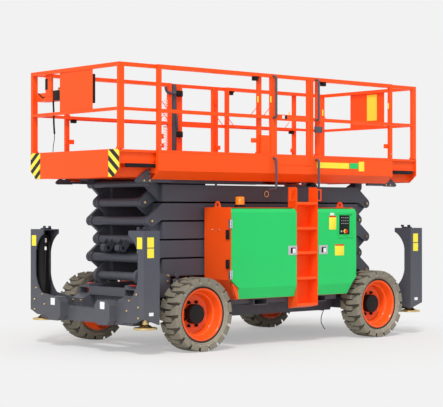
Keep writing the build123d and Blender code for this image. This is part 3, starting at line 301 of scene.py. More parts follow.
def weather_group():
    """Soft patches of tone, dust that gathers near the ground and a fine skin for the bump."""
    inputs = [
        ("Vector", "NodeSocketVector", None),
        ("Dust", "NodeSocketFloat", 0.3),
        ("Dust Height", "NodeSocketFloat", 1.0),
        ("Skin", "NodeSocketFloat", 400.0),
    ]
    outputs = [("Tone", "NodeSocketFloat"), ("Dust", "NodeSocketFloat"), ("Height", "NodeSocketFloat")]
    group, start, end = new_group("lift weather", inputs, outputs)
    given = start.outputs
    vector = given["Vector"]
    patches = noise_value(group, vector, 1.6, 4.0)
    tone = math_value(group, "MULTIPLY_ADD", patches, 0.16, 0.92)
    split = shader_node(group, "SeparateXYZ", {0: vector}).outputs
    low = math_value(group, "DIVIDE", split["Z"], given["Dust Height"])
    fall = math_value(group, "SUBTRACT", 1.0, low, clamp=True)
    speck = noise_value(group, vector, 14.0, 6.0)
    spread = math_value(group, "MULTIPLY", speck, fall)
    dust = math_value(group, "MULTIPLY", spread, given["Dust"], clamp=True)
    skin = noise_value(group, vector, given["Skin"], 2.0)
    wire(group, end, {"Tone": tone, "Dust": dust, "Height": skin})


def finish(name, colour, roughness, metallic=0.0, coat=0.0, dust=0.3, dust_height=1.0, skin=400.0, bump=0.02,
           gloss=0.2):
    """Material with patches of tone, dust and a fine skin over one colour."""
    material = bpy.data.materials.new(name)
    material.use_nodes = True
    tree = material.node_tree
    inputs = {"Vector": object_place(tree), "Dust": dust, "Dust Height": dust_height, "Skin": skin}
    weather = shader_node(tree, "Group", node_tree=bpy.data.node_groups["lift weather"])
    cover = wire(tree, weather, inputs).outputs
    shade = shader_node(tree, "VectorMath", {0: colour[:3], "Scale": cover["Tone"]}, operation="SCALE")
    dusty = mixed_colours(tree, cover["Dust"], shade.outputs["Vector"], bpy.context.scene.lift_colours.dust)
    rough = math_value(tree, "MULTIPLY_ADD", cover["Dust"], 0.5, roughness, clamp=True)
    relief = shader_node(tree, "Bump", {"Strength": bump, "Distance": 0.002, "Height": cover["Height"]})
    looks = {
        "Base Color": dusty,
        "Roughness": rough,
        "Metallic": metallic,
        "Specular IOR Level": gloss,
        "Coat Weight": coat,
        "Coat Roughness": 0.12,
        "Normal": relief.outputs["Normal"],
    }
    wire(tree, tree.nodes["Principled BSDF"], looks)
    return material


def stripes(name, first, second, slope, pitch=0.125):
    """Hazard stripes: the sign of a sine along a slanted line picks one of two colours."""
    tree = finish(name, first, 0.4, coat=0.2, dust=0.1).node_tree
    split = shader_node(tree, "SeparateXYZ", {0: object_place(tree)}).outputs
    along = math_value(tree, "ADD", math_value(tree, "MULTIPLY", split["Y"], slope), split["Z"])
    wave = math_value(tree, "SINE", math_value(tree, "MULTIPLY", along, 2 * math.pi / pitch))
    pick = math_value(tree, "GREATER_THAN", wave, 0.0)
    wire(tree, tree.nodes["Principled BSDF"], {"Base Color": mixed_colours(tree, pick, first, second)})


# ---------------------------------------------------------------- settings
def colour_setting(label, text, value):
    """Colour that a user may change."""
    limits = {"min": 0, "max": 1}
    return FloatVectorProperty(name=label, description=text, subtype="COLOR", size=3, default=value, **limits)


def length_setting(label, text, value):
    """Length that a user may change."""
    return FloatProperty(name=label, description=text, unit="LENGTH", default=value, min=0, precision=4)


class LiftColours(bpy.types.PropertyGroup):
    """Paint and material colours."""

    platform: colour_setting("Platform", "Enamel of the platform and the modules", (0.97, 0.09, 0.006))
    doors: colour_setting("Doors", "Enamel of the module doors", (0.018, 0.6, 0.14))
    steel: colour_setting("Frame", "Enamel of the chassis, outriggers and scissor", (0.08, 0.084, 0.106))
    rims: colour_setting("Rims", "Enamel of the wheel rims", (1.0, 0.1, 0.006))
    tread: colour_setting("Tread", "Rubber of the lugs", (0.2, 0.185, 0.145))
    wall: colour_setting("Tyre wall", "Rubber of the tyre walls", (0.33, 0.315, 0.25))
    # grooves: a darker rubber between the lugs, standing for painted shade in the grooves
    groove: colour_setting("Grooves", "Rubber between the lugs", (0.08, 0.072, 0.058))
    black: colour_setting("Black parts", "Cylinders, console and clamps", (0.012, 0.012, 0.013))
    zinc: colour_setting("Yellow zinc", "Bolts and outrigger pads", (0.72, 0.52, 0.22))
    silver: colour_setting("Silver", "Hinges, latches and rods", (0.6, 0.61, 0.63))
    yellow: colour_setting("Label yellow", "Blank labels", (0.95, 0.8, 0.06))
    white: colour_setting("Label white", "Blank white labels", (0.85, 0.87, 0.88))
    red: colour_setting("Red", "Stop buttons and slide pads", (0.75, 0.02, 0.015))
    amber: colour_setting("Amber", "Beacon lens", (1.0, 0.28, 0.01))
    dust: colour_setting("Dust", "Dry dust", (0.42, 0.37, 0.29))
    floor: colour_setting("Floor", "Studio floor", (0.8, 0.8, 0.8))


class LiftSizes(bpy.types.PropertyGroup):
    """Sizes of fittings and of the stage."""

    lugs: IntProperty(name="Lugs", description="Tread bars in each row of a tyre", default=18, min=8, max=40)
    tyre_radius: length_setting("Tyre radius", "Over the lugs", 0.415)
    tyre_width: length_setting("Tyre width", "Over the lugs", 0.305)
    tread_depth: length_setting("Tread depth", "Height of the lugs", 0.032)
    rim_radius: length_setting("Rim radius", "Bead seat", 0.292)
    tube_radius: length_setting("Tube radius", "Scissor cross tubes", 0.05)
    grab_radius: length_setting("Grab bar radius", "Round bars at the gates", 0.014)
    lens: FloatProperty(name="Lens", description="For a frame 36 mm wide", unit="CAMERA", default=116.18)


class LiftOperator:
    """Shared by all the operators of this file."""

    bl_options = {"REGISTER", "UNDO"}

    @property
    def sizes(self):
        return bpy.context.scene.lift_sizes


class LIFT_OT_finishes(LiftOperator, bpy.types.Operator):
    """Make the materials and paint the frame's nodes"""

    bl_idname = "lift.finishes"
    bl_label = "Finishes"

    def execute(self, context):
        c = context.scene.lift_colours
        weather_group()
        finish("orange enamel", c.platform, 0.4, coat=0.06, dust=0.06, dust_height=1.4)
        finish("green enamel", c.doors, 0.4, coat=0.06, dust=0.06, dust_height=1.2)
        finish("grey enamel", c.steel, 0.45, coat=0.04, dust=0.15, dust_height=1.2)
        finish("rim enamel", c.rims, 0.3, coat=0.3, dust=0.06, dust_height=1.0)
        finish("tread rubber", c.tread, 0.85, dust=0.7, dust_height=1.1, skin=160, bump=0.25)
        # painted shade between the lugs, given as a darker rubber on the crown
        finish("painted groove shade", c.groove, 0.9, dust=0.3, dust_height=1.1)
        finish("wall rubber", c.wall, 0.8, dust=0.5, dust_height=1.1, skin=220, bump=0.15)
        finish("black plastic", c.black, 0.4, dust=0.04, gloss=0.12)
        finish("black rubber", c.black, 0.65, dust=0.1, skin=900, bump=0.08)
        finish("yellow zinc", c.zinc, 0.3, metallic=0.9, dust=0.3)
        finish("silver steel", c.silver, 0.3, metallic=0.9, dust=0.1)
        finish("dark steel", c.steel, 0.35, metallic=0.8, dust=0.1)
        finish("yellow label", c.yellow, 0.5, dust=0.1)
        finish("white label", c.white, 0.5, dust=0.1)
        finish("pale plastic", c.white, 0.4, dust=0.1)
        finish("red plastic", c.red, 0.35, dust=0.1)
        finish("amber lens", c.amber, 0.12, coat=0.6, dust=0.0)
        stripes("stripes left", c.yellow, c.black, 0.75)
        stripes("stripes right", c.yellow, c.black, -0.75)
        greys = ("chassis", "cross_members", "fork_pockets", "front_axle", "rear_axle", "knuckle")
        greys += ("outrigger", "outer_arms", "inner_arms", "scissor_tracks", "extension_supports", "engine")
        greys += ("grab_bars",)
        blacks = ("lift_barrels", "leg_cylinders", "console")
        paints = (
            (greys, "grey enamel"),
            (blacks, "black plastic"),
            (("lift_rods",), "dark steel"),
            (("door",), "green enamel"),
            (("tyre",), "tread rubber"),
            (("wheel",), "rim enamel"),
            (("foot",), "yellow zinc"),
            (("beacon",), "amber lens"),
            (("earth_strap",), "black rubber"),
        )
        for node, obj in frame["nodes"].items():
            chosen = [paint for starts, paint in paints if node.startswith(starts)] or ["orange enamel"]
            obj.data.materials.clear()
            obj.data.materials.append(bpy.data.materials[chosen[0]])
        return {"FINISHED"}


def wheel_place(name):
    """Centre of a wheel and the sign of its outer side."""
    low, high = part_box(f"tyre_{name}")
    middle = (np.array(low) + np.array(high)) / 2
    return middle, 1 if middle[1] > 0 else -1


class LIFT_OT_tyres(LiftOperator, bpy.types.Operator):
    """Tyres with round walls and slanted lugs"""

    bl_idname = "lift.tyres"
    bl_label = "Tyres"

    def lug(self, centre, row, angle):
        """Slanted bar: a box section carried from the crown to the wall along a slowly turning line."""
        s = self.sizes
        half, top, base = s.tyre_width / 2, s.tyre_radius, s.tyre_radius - s.tread_depth
        y = row * half * np.array([-0.3, 0.3, 0.62, 0.93, 0.975, 0.985])
        crest = np.array([top, top, top, top - 0.002, top - 0.009, top - 0.016])
        foot = base - np.array([0.01, 0.01, 0.014, 0.03, 0.036, 0.038])
        lean = np.array([0.11, 0.1, 0.045, 0.004, 0.0, 0.0]) + angle
        width = np.array([0.048, 0.054, 0.084, 0.108, 0.108, 0.106]) / top
        wide, narrow = width * 0.56, width * 0.5
        turn = np.stack([lean - wide, lean - narrow, lean + narrow, lean + wide], axis=1)
        radius = np.stack([foot, crest, crest, foot], axis=1)
        x = centre[0] + radius * np.sin(turn)
        z = centre[2] + radius * np.cos(turn)
        return grid(np.stack([x, centre[1] + y[:, None] + 0 * x, z], axis=-1), closed_v=True, caps=True)

    def execute(self, context):
        s = self.sizes
        half, base, bead = s.tyre_width / 2, s.tyre_radius - s.tread_depth, s.rim_radius
        turn, flange = np.linspace(0, 1, 9), 0.108
        wall_y = flange + (half - 0.0035 - flange) * np.sin(turn * np.pi / 2) ** 0.8
        wall_r = bead + 0.023 + (base - 0.045 - bead) * turn
        right = np.stack([wall_y, wall_r], axis=1)
        right = np.vstack([[(0.098, bead), (0.1, bead + 0.02)], right, [(half - 0.02, base - 0.012)]])
        profile = np.vstack([right, right[::-1] * (-1, 1)])
        # crown between the lugs, drawn in a darker rubber as painted shade in the grooves
        crown = [(half - 0.012, base - 0.017), (0.11, base), (-0.11, base), (0.012 - half, base - 0.017)]
        crown += [(0.02 - half, base - 0.02), (half - 0.02, base - 0.02)]
        ribs = []  # fine moulded rings on both walls
        for radius, y in ((bead + 0.034, 0.1335), (bead + 0.042, 0.1385)):
            for sign in (1, -1):
                rib = [(sign * (y - 0.004), radius - 0.002), (sign * y, radius - 0.001)]
                rib += [(sign * y, radius + 0.001), (sign * (y - 0.004), radius + 0.002)]
                ribs.append(rib)
        foot, head = bead + 0.0055, bead + 0.022
        seam = [(0.1005, foot), (0.1095, foot), (0.113, head), (0.1005, head)]
        step = 2 * math.pi / s.lugs
        rows = ((1, 0.0), (-1, 0.5))
        for name in WHEELS:
            centre, out = wheel_place(name)
            body = f"{name}_wheel"
            sections = (profile, *ribs, crown, seam)
            *walls, tread, ring = [turned(part, centre, (0, out, 0), 72, closed=True) for part in sections]
            piece(f"carcass_{name}", walls, "wall rubber", body, replaces=(f"tyre_{name}",))
            # the crown's darker rubber is painted shade between the lugs
            piece(f"crown_{name}", [tread], "painted groove shade", body)
            piece(f"bead_{name}", [ring], "black rubber", body)
            lugs = [self.lug(centre, row, (i + shift) * step) for i in range(s.lugs) for row, shift in rows]
            piece(f"lugs_{name}", lugs, "tread rubber", body, smooth=20)
        return {"FINISHED"}


class LIFT_OT_wheels(LiftOperator, bpy.types.Operator):
    """Rims, hub caps and wheel nuts"""

    bl_idname = "lift.wheels"
    bl_label = "Wheels"

    def execute(self, context):
        bead = self.sizes.rim_radius
        # rows of (along the axle, radius): the lip is measured from the bead seat, the dish from the axle
        lip = [(0.104, -0.022), (0.111, -0.016), (0.112, 0), (0.109, 0.005), (0.103, 0.005), (0.1, 0)]
        lip.append((-0.139, -0.001))
        dish = [(-0.141, 0.283), (-0.139, 0.276), (-0.112, 0.262), (-0.092, 0.205), (-0.09, 0.118)]
        dish += [(-0.08, 0.1), (-0.072, 0.1), (-0.072, 0.16), (-0.069, 0.2), (-0.06, 0.214), (0.008, 0.226)]
        dish += [(0.016, 0.229), (0.022, 0.236), (0.026, 0.245), (0.082, 0.262), (0.098, 0.267)]
        rim = [(along, bead + rise) for along, rise in lip] + dish
        cap = [(-0.075, 0.112), (0.008, 0.111), (0.016, 0.108), (0.019, 0.1), (0.019, 0.0)]
        hub = [(-0.141, 0.11), (-0.089, 0.116)]
        angle = np.radians(22.5 + 45 * np.arange(8))
        nut_circle = 0.142
        for name in WHEELS:
            centre, out = wheel_place(name)
            body = f"{name}_wheel"
            axis = (0, out, 0)
            piece(f"rim_{name}", [turned(rim, centre, axis, 96, closed=True)], "rim enamel", body,
                  replaces=(f"wheel_{name}",), smooth=32)
            piece(f"hub_cap_{name}", [turned(cap, centre, axis, 48), turned(hub, centre, axis, 32)],
                  "black plastic", body)
            ring = [nut_circle * np.cos(angle), 0 * angle - 0.072 * out, nut_circle * np.sin(angle)]
            spots = centre + np.stack(ring, axis=1)
            nuts = [bolt(spot, axis, 0.034, 0.024) for spot in spots]
            studs = [rod(spot, spot + np.array(axis) * 0.036, 0.009, 10) for spot in spots]
            piece(f"nuts_{name}", nuts + studs, "black plastic", body)
        return {"FINISHED"}


class LIFT_OT_scissor(LiftOperator, bpy.types.Operator):
    """Round cross tubes, pin heads, centre rings and hoses of the scissor"""

    bl_idname = "lift.scissor"
    bl_label = "Scissor"

    def execute(self, context):
        radius = self.sizes.tube_radius + 0.0008
        hose_spots = ((0.345, 0.0), (0.328, 0.007), (0.31, -0.006))
        collar = [(0, 0.030), (0.004, 0.030), (0.004, 0.038), (0, 0.038)]
        for section in range(1, SECTIONS + 1):
            top, low = PIN_LEVELS[section - 1], PIN_LEVELS[section]
            middle = (low + top) / 2
            for kind, inner, outer in ARM_FACES:
                front = (section % 2 == 1) == (kind == "inner")
                x = PIN_X if front else -PIN_X
                body = f"{kind}_{section}"
                sleeve = rod((x, 0.003 - inner, low), (x, inner - 0.003, low), radius, 40)
                piece(f"cross_tube_{body}", [sleeve], "grey enamel", body)
                heads = []
                for _, side in SIDES:
                    face, axis = side * (outer + 0.007), (0, side, 0)
                    heads.append(bolt((x, face, low), axis, 0.026, 0.012))
                    if kind == "outer":
                        heads.append(turned(collar, (0, face, middle), axis, 32, closed=True))
                piece(f"pin_heads_{body}", heads, "yellow zinc", body)
            if section == 1:
                sleeve = rod((PIN_X, -0.487, top), (PIN_X, 0.487, top), 0.038, 32)
                piece("cross_tube_top", [sleeve], "grey enamel", "outer_1")
            else:
                hoses = [rod((-1.3, side * y, top + z), (1.3, side * y, top + z), 0.009, 10)
                         for _, side in SIDES for y, z in hose_spots]
                piece(f"arm_hoses_{section}", hoses, "black rubber", f"inner_{section}")
        return {"FINISHED"}


class LIFT_OT_outriggers(LiftOperator, bpy.types.Operator):
    """Outrigger cylinders with their caps and hoses, pads, bolts and blank labels"""

    bl_idname = "lift.outriggers"
    bl_label = "Outriggers"

    def pad(self, name, x, y):
        """Pad and rod of one outrigger."""
        low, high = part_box(f"foot_{name}")
        z = low[2]
        dish = [(0, 0.0), (0, 0.126), (0.004, 0.13), (0.018, 0.13), (0.022, 0.126), (0.024, 0.085)]
        dish += [(0.046, 0.052), (0.056, 0.038)]
        profile = [(z + rise, radius) for rise, radius in dish] + [(high[2], 0.038), (high[2], 0.0)]
        pad = turned(profile, (x, y, 0), (0, 0, 1), 40)
        piece(f"pad_{name}", [pad], "yellow zinc", f"{name}_foot", replaces=(f"foot_{name}",))

    def cap(self, x, y, side):
        """Top plate of a leg and the two lugs on it."""
        middle, top = y - side * 0.05, 1.372
        shapes = [soft_box((x - 0.05, middle - 0.045, 1.357), (x + 0.05, middle + 0.045, top), 0.004)]
        for offset in (-0.055, 0.055):
            lug = y - side * 0.07 + offset
            shapes.append(soft_box((x - 0.008, lug - 0.022, top), (x + 0.008, lug + 0.022, 1.396), 0.004))
        return shapes

    def leg_hoses(self, x, y, side):
        """Two hoses down a leg, each with a pale sleeve and a union at its top."""
        hoses, sleeves, unions = [], [], []
        for lean in (0.088, -0.1):
            top_y, low_y = y - side * lean, y - side * lean * 0.75
            route = [(x, top_y, 1.24), (x, top_y, 1.0), (x, low_y, 0.62)]
            hoses.append(tube(bend(route, 0.2), 0.011, (1, 0, 0), 10))
            sleeves.append(rod((x, top_y, 1.11), (x, top_y, 1.15), 0.013, 14))
            unions.append(rod((x, top_y, 1.2), (x, top_y, 1.25), 0.013, 6))
        return hoses, sleeves, unions

    def end_label(self, sign, x, side, y, half, low, high):
        """Blank plate on a face that looks along the machine."""
        middle, near = side * y, sign * x
        return label((near, middle - half, low), (near + sign * LABEL_THICK, middle + half, high))

    def side_label(self, side, x, before, behind, low, high):
        """Blank plate on the outer face of a leg."""
        near, far = side * LEG_OUT_Y, side * (LEG_OUT_Y + LABEL_THICK)
        return label((x - before, near, low), (x + behind, far, high))

    def execute(self, context):
        barrels, caps, bolts, yellows, whites = [], [], [], [], []
        hoses, sleeves, unions = [], [], []
        barrel = [(0.452, 0.04), (0.452, 0.07), (0.47, 0.075), (0.49, 0.07), (1.25, 0.07), (1.26, 0.076)]
        barrel += [(1.29, 0.076), (1.29, 0.034), (1.345, 0.034)]
        bolt_spots = ((0.975, 0.664), (0.845, 0.594), (1.005, 0.527), (0.8, 0.478), (1.005, 0.408))
        for end, sign in (("front", 1), ("rear", -1)):
            reach = max(abs(corner[0]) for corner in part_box(f"outrigger_{end}"))
            for name, side in SIDES:
                x, y = sign * LEG_X, side * LEG_Y
                barrels.append(turned(barrel, (x, y, 0), (0, 0, 1), 40))
                caps += self.cap(x, y, side)
                self.pad(f"{end}_{name}", x, y)
                spots = [(sign * LEG_FACE_X, side * by, bz) for by, bz in bolt_spots]
                bolts += [bolt(spot, (sign, 0, 0), 0.022, 0.01) for spot in spots]
                yellows.append(self.end_label(sign, LEG_FACE_X, side, 1.025, 0.046, 1.16, 1.285))
                yellows.append(self.side_label(side, x, 0.03, 0.062, 1.175, 1.285))
                yellows.append(self.side_label(side, x, 0.03, 0.062, 1.062, 1.165))
                whites.append(self.end_label(sign, reach, side, 0.482, 0.042, 0.487, 0.567))
                whites.append(self.side_label(side, x, 0.024, 0.038, 0.433, 0.469))
                more = self.leg_hoses(x + sign * 0.03, y, side)
                hoses, sleeves, unions = [old + new for old, new in zip((hoses, sleeves, unions), more)]
        piece("leg_barrels", barrels, "black plastic", "chassis", replaces=("leg_cylinders",))
        piece("leg_caps", caps, "dark steel", "chassis")
        piece("leg_bolts", bolts, "yellow zinc", "chassis")
        piece("leg_labels", yellows, "yellow label", "chassis")
        piece("leg_plates", whites, "white label", "chassis")
        piece("leg_hoses", hoses, "black rubber", "chassis")
        piece("hose_sleeves", sleeves, "pale plastic", "chassis")
        piece("hose_unions", unions, "silver steel", "chassis")
        return {"FINISHED"}


class LIFT_OT_chassis(LiftOperator, bpy.types.Operator):
    """Slide pads, the lift cylinders' ears and bolts on the chassis"""

    bl_idname = "lift.chassis"
    bl_label = "Chassis fittings"

    def execute(self, context):
        pads, bolts = [], []
        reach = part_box("chassis_beams")[1][0]
        for y in (0.407, -0.407):
            pads.append(soft_box((1.868, y - 0.045, 0.722), (1.905, y + 0.045, 0.734), 0.004))
        corners = [(y, z) for y in (0.37, 0.52) for z in (0.37, 0.53)]
        for sign in (1, -1):
            for y, z in corners:
                bolts += [bolt((sign * reach, side * y, z), (sign, 0, 0), 0.036, 0.02) for _, side in SIDES]
        ears, eye_bolts = [], []
        inner, eye_x, eye_z = 0.61, 1.415, 0.838
        for _, side in SIDES:
            ears.append(side_box(side, (1.515, inner, 0.56), (1.67, EAR_FACE, 0.862), 0.004))
            ears.append(side_box(side, (1.36, inner, 0.56), (1.47, EAR_FACE, 0.8), 0.004))
            ears.append(rod((eye_x, side * 0.608, eye_z), (eye_x, side * 0.63, eye_z), 0.03, 28))
            ears.append(side_box(side, (1.402, inner, 0.79), (1.428, EAR_FACE, 0.83), 0.003))
            ears.append(side_box(side, (1.36, 0.555, 0.54), (1.67, EAR_FACE, 0.6), 0.005))
            spots = [(1.553, side * EAR_FACE, z) for z in (0.84, 0.775)]
            eye_bolts += [bolt(spot, (0, side, 0), 0.026, 0.012) for spot in spots]
        piece("chassis_ears", ears, "grey enamel", "chassis")
        piece("ear_bolts", eye_bolts, "yellow zinc", "chassis")
        piece("slide_pads", pads, "red plastic", "chassis")
        piece("end_bolts", bolts, "yellow zinc", "chassis")
        return {"FINISHED"}


class LIFT_OT_doors(LiftOperator, bpy.types.Operator):
    """Hinges, buffers, latches, cheeks, the ground control panel and blank labels"""

    bl_idname = "lift.doors"
    bl_label = "Door fittings"

    def plate(self, side, x0, x1, z0, z1, thick, edge=0.002):
        """Rectangle on the door's outer face."""
        return side_box(side, (x0, DOOR_FACE, z0), (x1, DOOR_FACE + thick, z1), edge)

    def hinges(self, name, side):
        """Barrels and leaves of one side's door hinges."""
        front, fixed, back, gaps = [], [], [], []
        barrels = ((front, 1.008, 1.088), (back, -1.071, 1.03))
        for z in HINGE_LEVELS:
            for shapes, x, y in barrels:
                shapes.append(rod((x, side * y, z - 0.045), (x, side * y, z + 0.045), 0.0095, 16))
            front.append(self.plate(side, 0.974, 1.008, z - 0.05, z + 0.05, 0.0052, 0.001))
            fixed.append(side_box(side, (1.0, 1.046, z - 0.05), (1.0052, 1.084, z + 0.05), 0.001))
            back.append(self.plate(side, -1.054, -1.022, z - 0.05, z + 0.05, 0.003, 0.001))
        _, x, y = barrels[0]
        joints = [z + d for z in HINGE_LEVELS for d in (-0.018, 0.018)]
        gaps += [rod((x, side * y, z - 0.002), (x, side * y, z + 0.002), 0.0102, 16) for z in joints]
        holes = [z + d for z in HINGE_LEVELS for d in (-0.032, 0.0, 0.032)]
        gaps += [self.plate(side, 0.985, 0.993, z - 0.004, z + 0.004, 0.0062, 0.001) for z in holes]
        piece(f"hinge_gaps_{name}", gaps, "black plastic", f"front_{name}_door")
        piece(f"front_hinge_{name}", front, "silver steel", f"front_{name}_door")
        piece(f"front_hinge_leaf_{name}", fixed, "silver steel", "chassis")
        piece(f"rear_hinge_{name}", back, "green enamel", f"rear_{name}_door")

    def latch(self, side, x, body):
        """Paddle latch: a plate with a raised frame, a dark pocket and a pale paddle."""
        base = [self.plate(side, x - 0.072, x + 0.072, 1.052, 1.162, 0.004)]
        base.append(self.plate(side, x - 0.055, x + 0.04, 1.066, 1.148, 0.009, 0.004))
        piece(f"latch_{body}", base, "silver steel", body)
        pocket = [self.plate(side, x + 0.006, x + 0.036, 1.074, 1.14, 0.0105, 0.002)]
        pocket.append(self.plate(side, x - 0.04, x + 0.006, 1.13, 1.14, 0.0105, 0.002))
        piece(f"latch_pocket_{body}", pocket, "black plastic", body)
        paddle = [self.plate(side, x - 0.04, x + 0.002, 1.076, 1.124, 0.012, 0.004)]
        piece(f"latch_paddle_{body}", paddle, "pale plastic", body)

    def labels(self, side, body):
        """Blank labels of a rear door: two yellow ones with red bands and a small white one."""
        thick = 0.001
        labels = [self.plate(side, -0.709, -0.589, 1.348, 1.497, thick)]
        labels.append(self.plate(side, -0.845, -0.689, 1.032, 1.15, thick))
        bands = [self.plate(side, -0.845, -0.689, 1.15, 1.168, thick)]
        bands.append(self.plate(side, -0.709, -0.589, 1.497, 1.515, thick))
        notice = [self.plate(side, -0.675, -0.606, 1.519, 1.549, thick)]
        piece(f"door_labels_{body}", labels, "yellow label", body)
        piece(f"door_bands_{body}", bands, "red plastic", body)
        piece(f"door_notice_{body}", notice, "white label", body)

    def ground_panel(self, body):
        """Control panel with its surround, keys and stop button on the rear left door."""
        border = [(-1.0, -0.735, 1.53, 1.548), (-1.0, -0.735, 1.247, 1.265)]
        border += [(-1.0, -0.982, 1.265, 1.53), (-0.753, -0.735, 1.265, 1.53)]
        surround = [self.plate(1, x0, x1, z0, z1, 0.009, 0.004) for x0, x1, z0, z1 in border]
        piece("panel_surround", surround, "green enamel", body)
        panel = [self.plate(1, -0.94, -0.764, 1.288, 1.52, 0.004, 0.003)]
        piece("ground_panel", panel, "black plastic", body)
        spots = [(x, z) for z in (1.49, 1.455, 1.42) for x in (-0.905, -0.87, -0.835, -0.80)]
        face = DOOR_FACE + 0.003
        buttons = [rod((x, face, z), (x, face + 0.007, z), 0.006, 12) for x, z in spots]
        key = [rod((-0.79, face, 1.325), (-0.79, face + 0.011, 1.325), 0.012, 16)]
        piece("ground_buttons", buttons + key, "silver steel", body)
        centre = (-0.862, face, 1.325)
        ring = [turned([(0, 0.001), (0, 0.027), (0.006, 0.025), (0.006, 0.001)], centre, (0, 1, 0), 32)]
        knob = [(0.006, 0.0), (0.006, 0.012), (0.014, 0.013), (0.018, 0.021), (0.027, 0.021), (0.031, 0.016)]
        knob.append((0.032, 0.0))
        piece("ground_stop_ring", ring, "yellow label", body)
        piece("ground_stop", [turned(knob, centre, (0, 1, 0), 32)], "red plastic", body)

    def execute(self, context):
        buffers, bolts = [], []
        for name, side in SIDES:
            front, back = f"front_{name}_door", f"rear_{name}_door"
            self.hinges(name, side)
            self.latch(side, 0.025, front)
            self.latch(side, -0.487, back)
            for z0, z1 in ((1.249, 1.358), (0.912, 1.017)):
                buffers.append(side_box(side, (1.0, 1.009, z0), (1.018, 1.064, z1), 0.005))
            bolts += [bolt((1.0, side * y, 1.357), (1, 0, 0), 0.018, 0.008) for y in (0.757, 0.877)]
            cheek = [(0.999, 0.772), (0.872, 0.7), (0.862, 0.566), (0.9, 0.566)]
            y0, y1 = sorted((side * 1.052, side * 1.06))
            piece(f"front_cheek_{name}", [slab(cheek, 1, y0, y1)], "orange enamel", "chassis")
            self.labels(side, back)
        piece("door_buffers", buffers, "black rubber", "chassis")
        self.ground_panel("rear_left_door")
        piece("module_bolts", bolts, "silver steel", "chassis")
        return {"FINISHED"}


class LIFT_OT_beacon(LiftOperator, bpy.types.Operator):
    """Amber beacon with a ribbed lens"""

    bl_idname = "lift.beacon"
    bl_label = "Beacon"

    def execute(self, context):
        low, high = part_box("beacon")
        centre = ((low[0] + high[0]) / 2, (low[1] + high[1]) / 2, low[2])
        height, rib = high[2] - low[2], 0.012
        base = [(0.0, 0.066), (0.012, 0.066), (0.016, 0.06), (0.03, 0.058), (0.034, 0.05)]
        z = np.linspace(0.03, height - 0.014, 19)
        lens = np.stack([z, 0.0545 + 0.0012 * np.cos(z * 2 * np.pi / rib)], axis=1)
        lens = np.vstack([lens, [(height - 0.005, 0.05), (height, 0.034), (height, 0.0)]])
        lamp = turned(lens, centre, (0, 0, 1), 40)
        piece("beacon_lens", [lamp], "amber lens", "chassis", replaces=("beacon",))
        piece("beacon_base", [turned(base, centre, (0, 0, 1), 40)], "black plastic", "chassis")
        return {"FINISHED"}


class LIFT_OT_grab_bars(LiftOperator, bpy.types.Operator):
    """Round grab bars at the gates"""

    bl_idname = "lift.grab_bars"
    bl_label = "Grab bars"

    def execute(self, context):
        shapes = []
        low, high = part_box("grab_bars")
        radius = self.sizes.grab_radius
        wall, out = RAIL_FACE, high[1] - radius
        levels_of_bars = ((MID_RAIL, TOP_RAIL, wall), (low[2] + radius, TOE_TOP - 0.053, out - 0.12))
        for x in (high[0] - radius, low[0] + radius):
            for bottom, top, back in levels_of_bars:
                path = bend([(x, wall, top), (x, out, top), (x, out, bottom), (x, back, bottom)], 0.035)
                shapes.append(tube(path, radius, (1, 0, 0), 14))
        shapes += [flipped(shape) for shape in shapes]
        piece("round_grab_bars", shapes, "grey enamel", "platform", replaces=("grab_bars",))
        return {"FINISHED"}


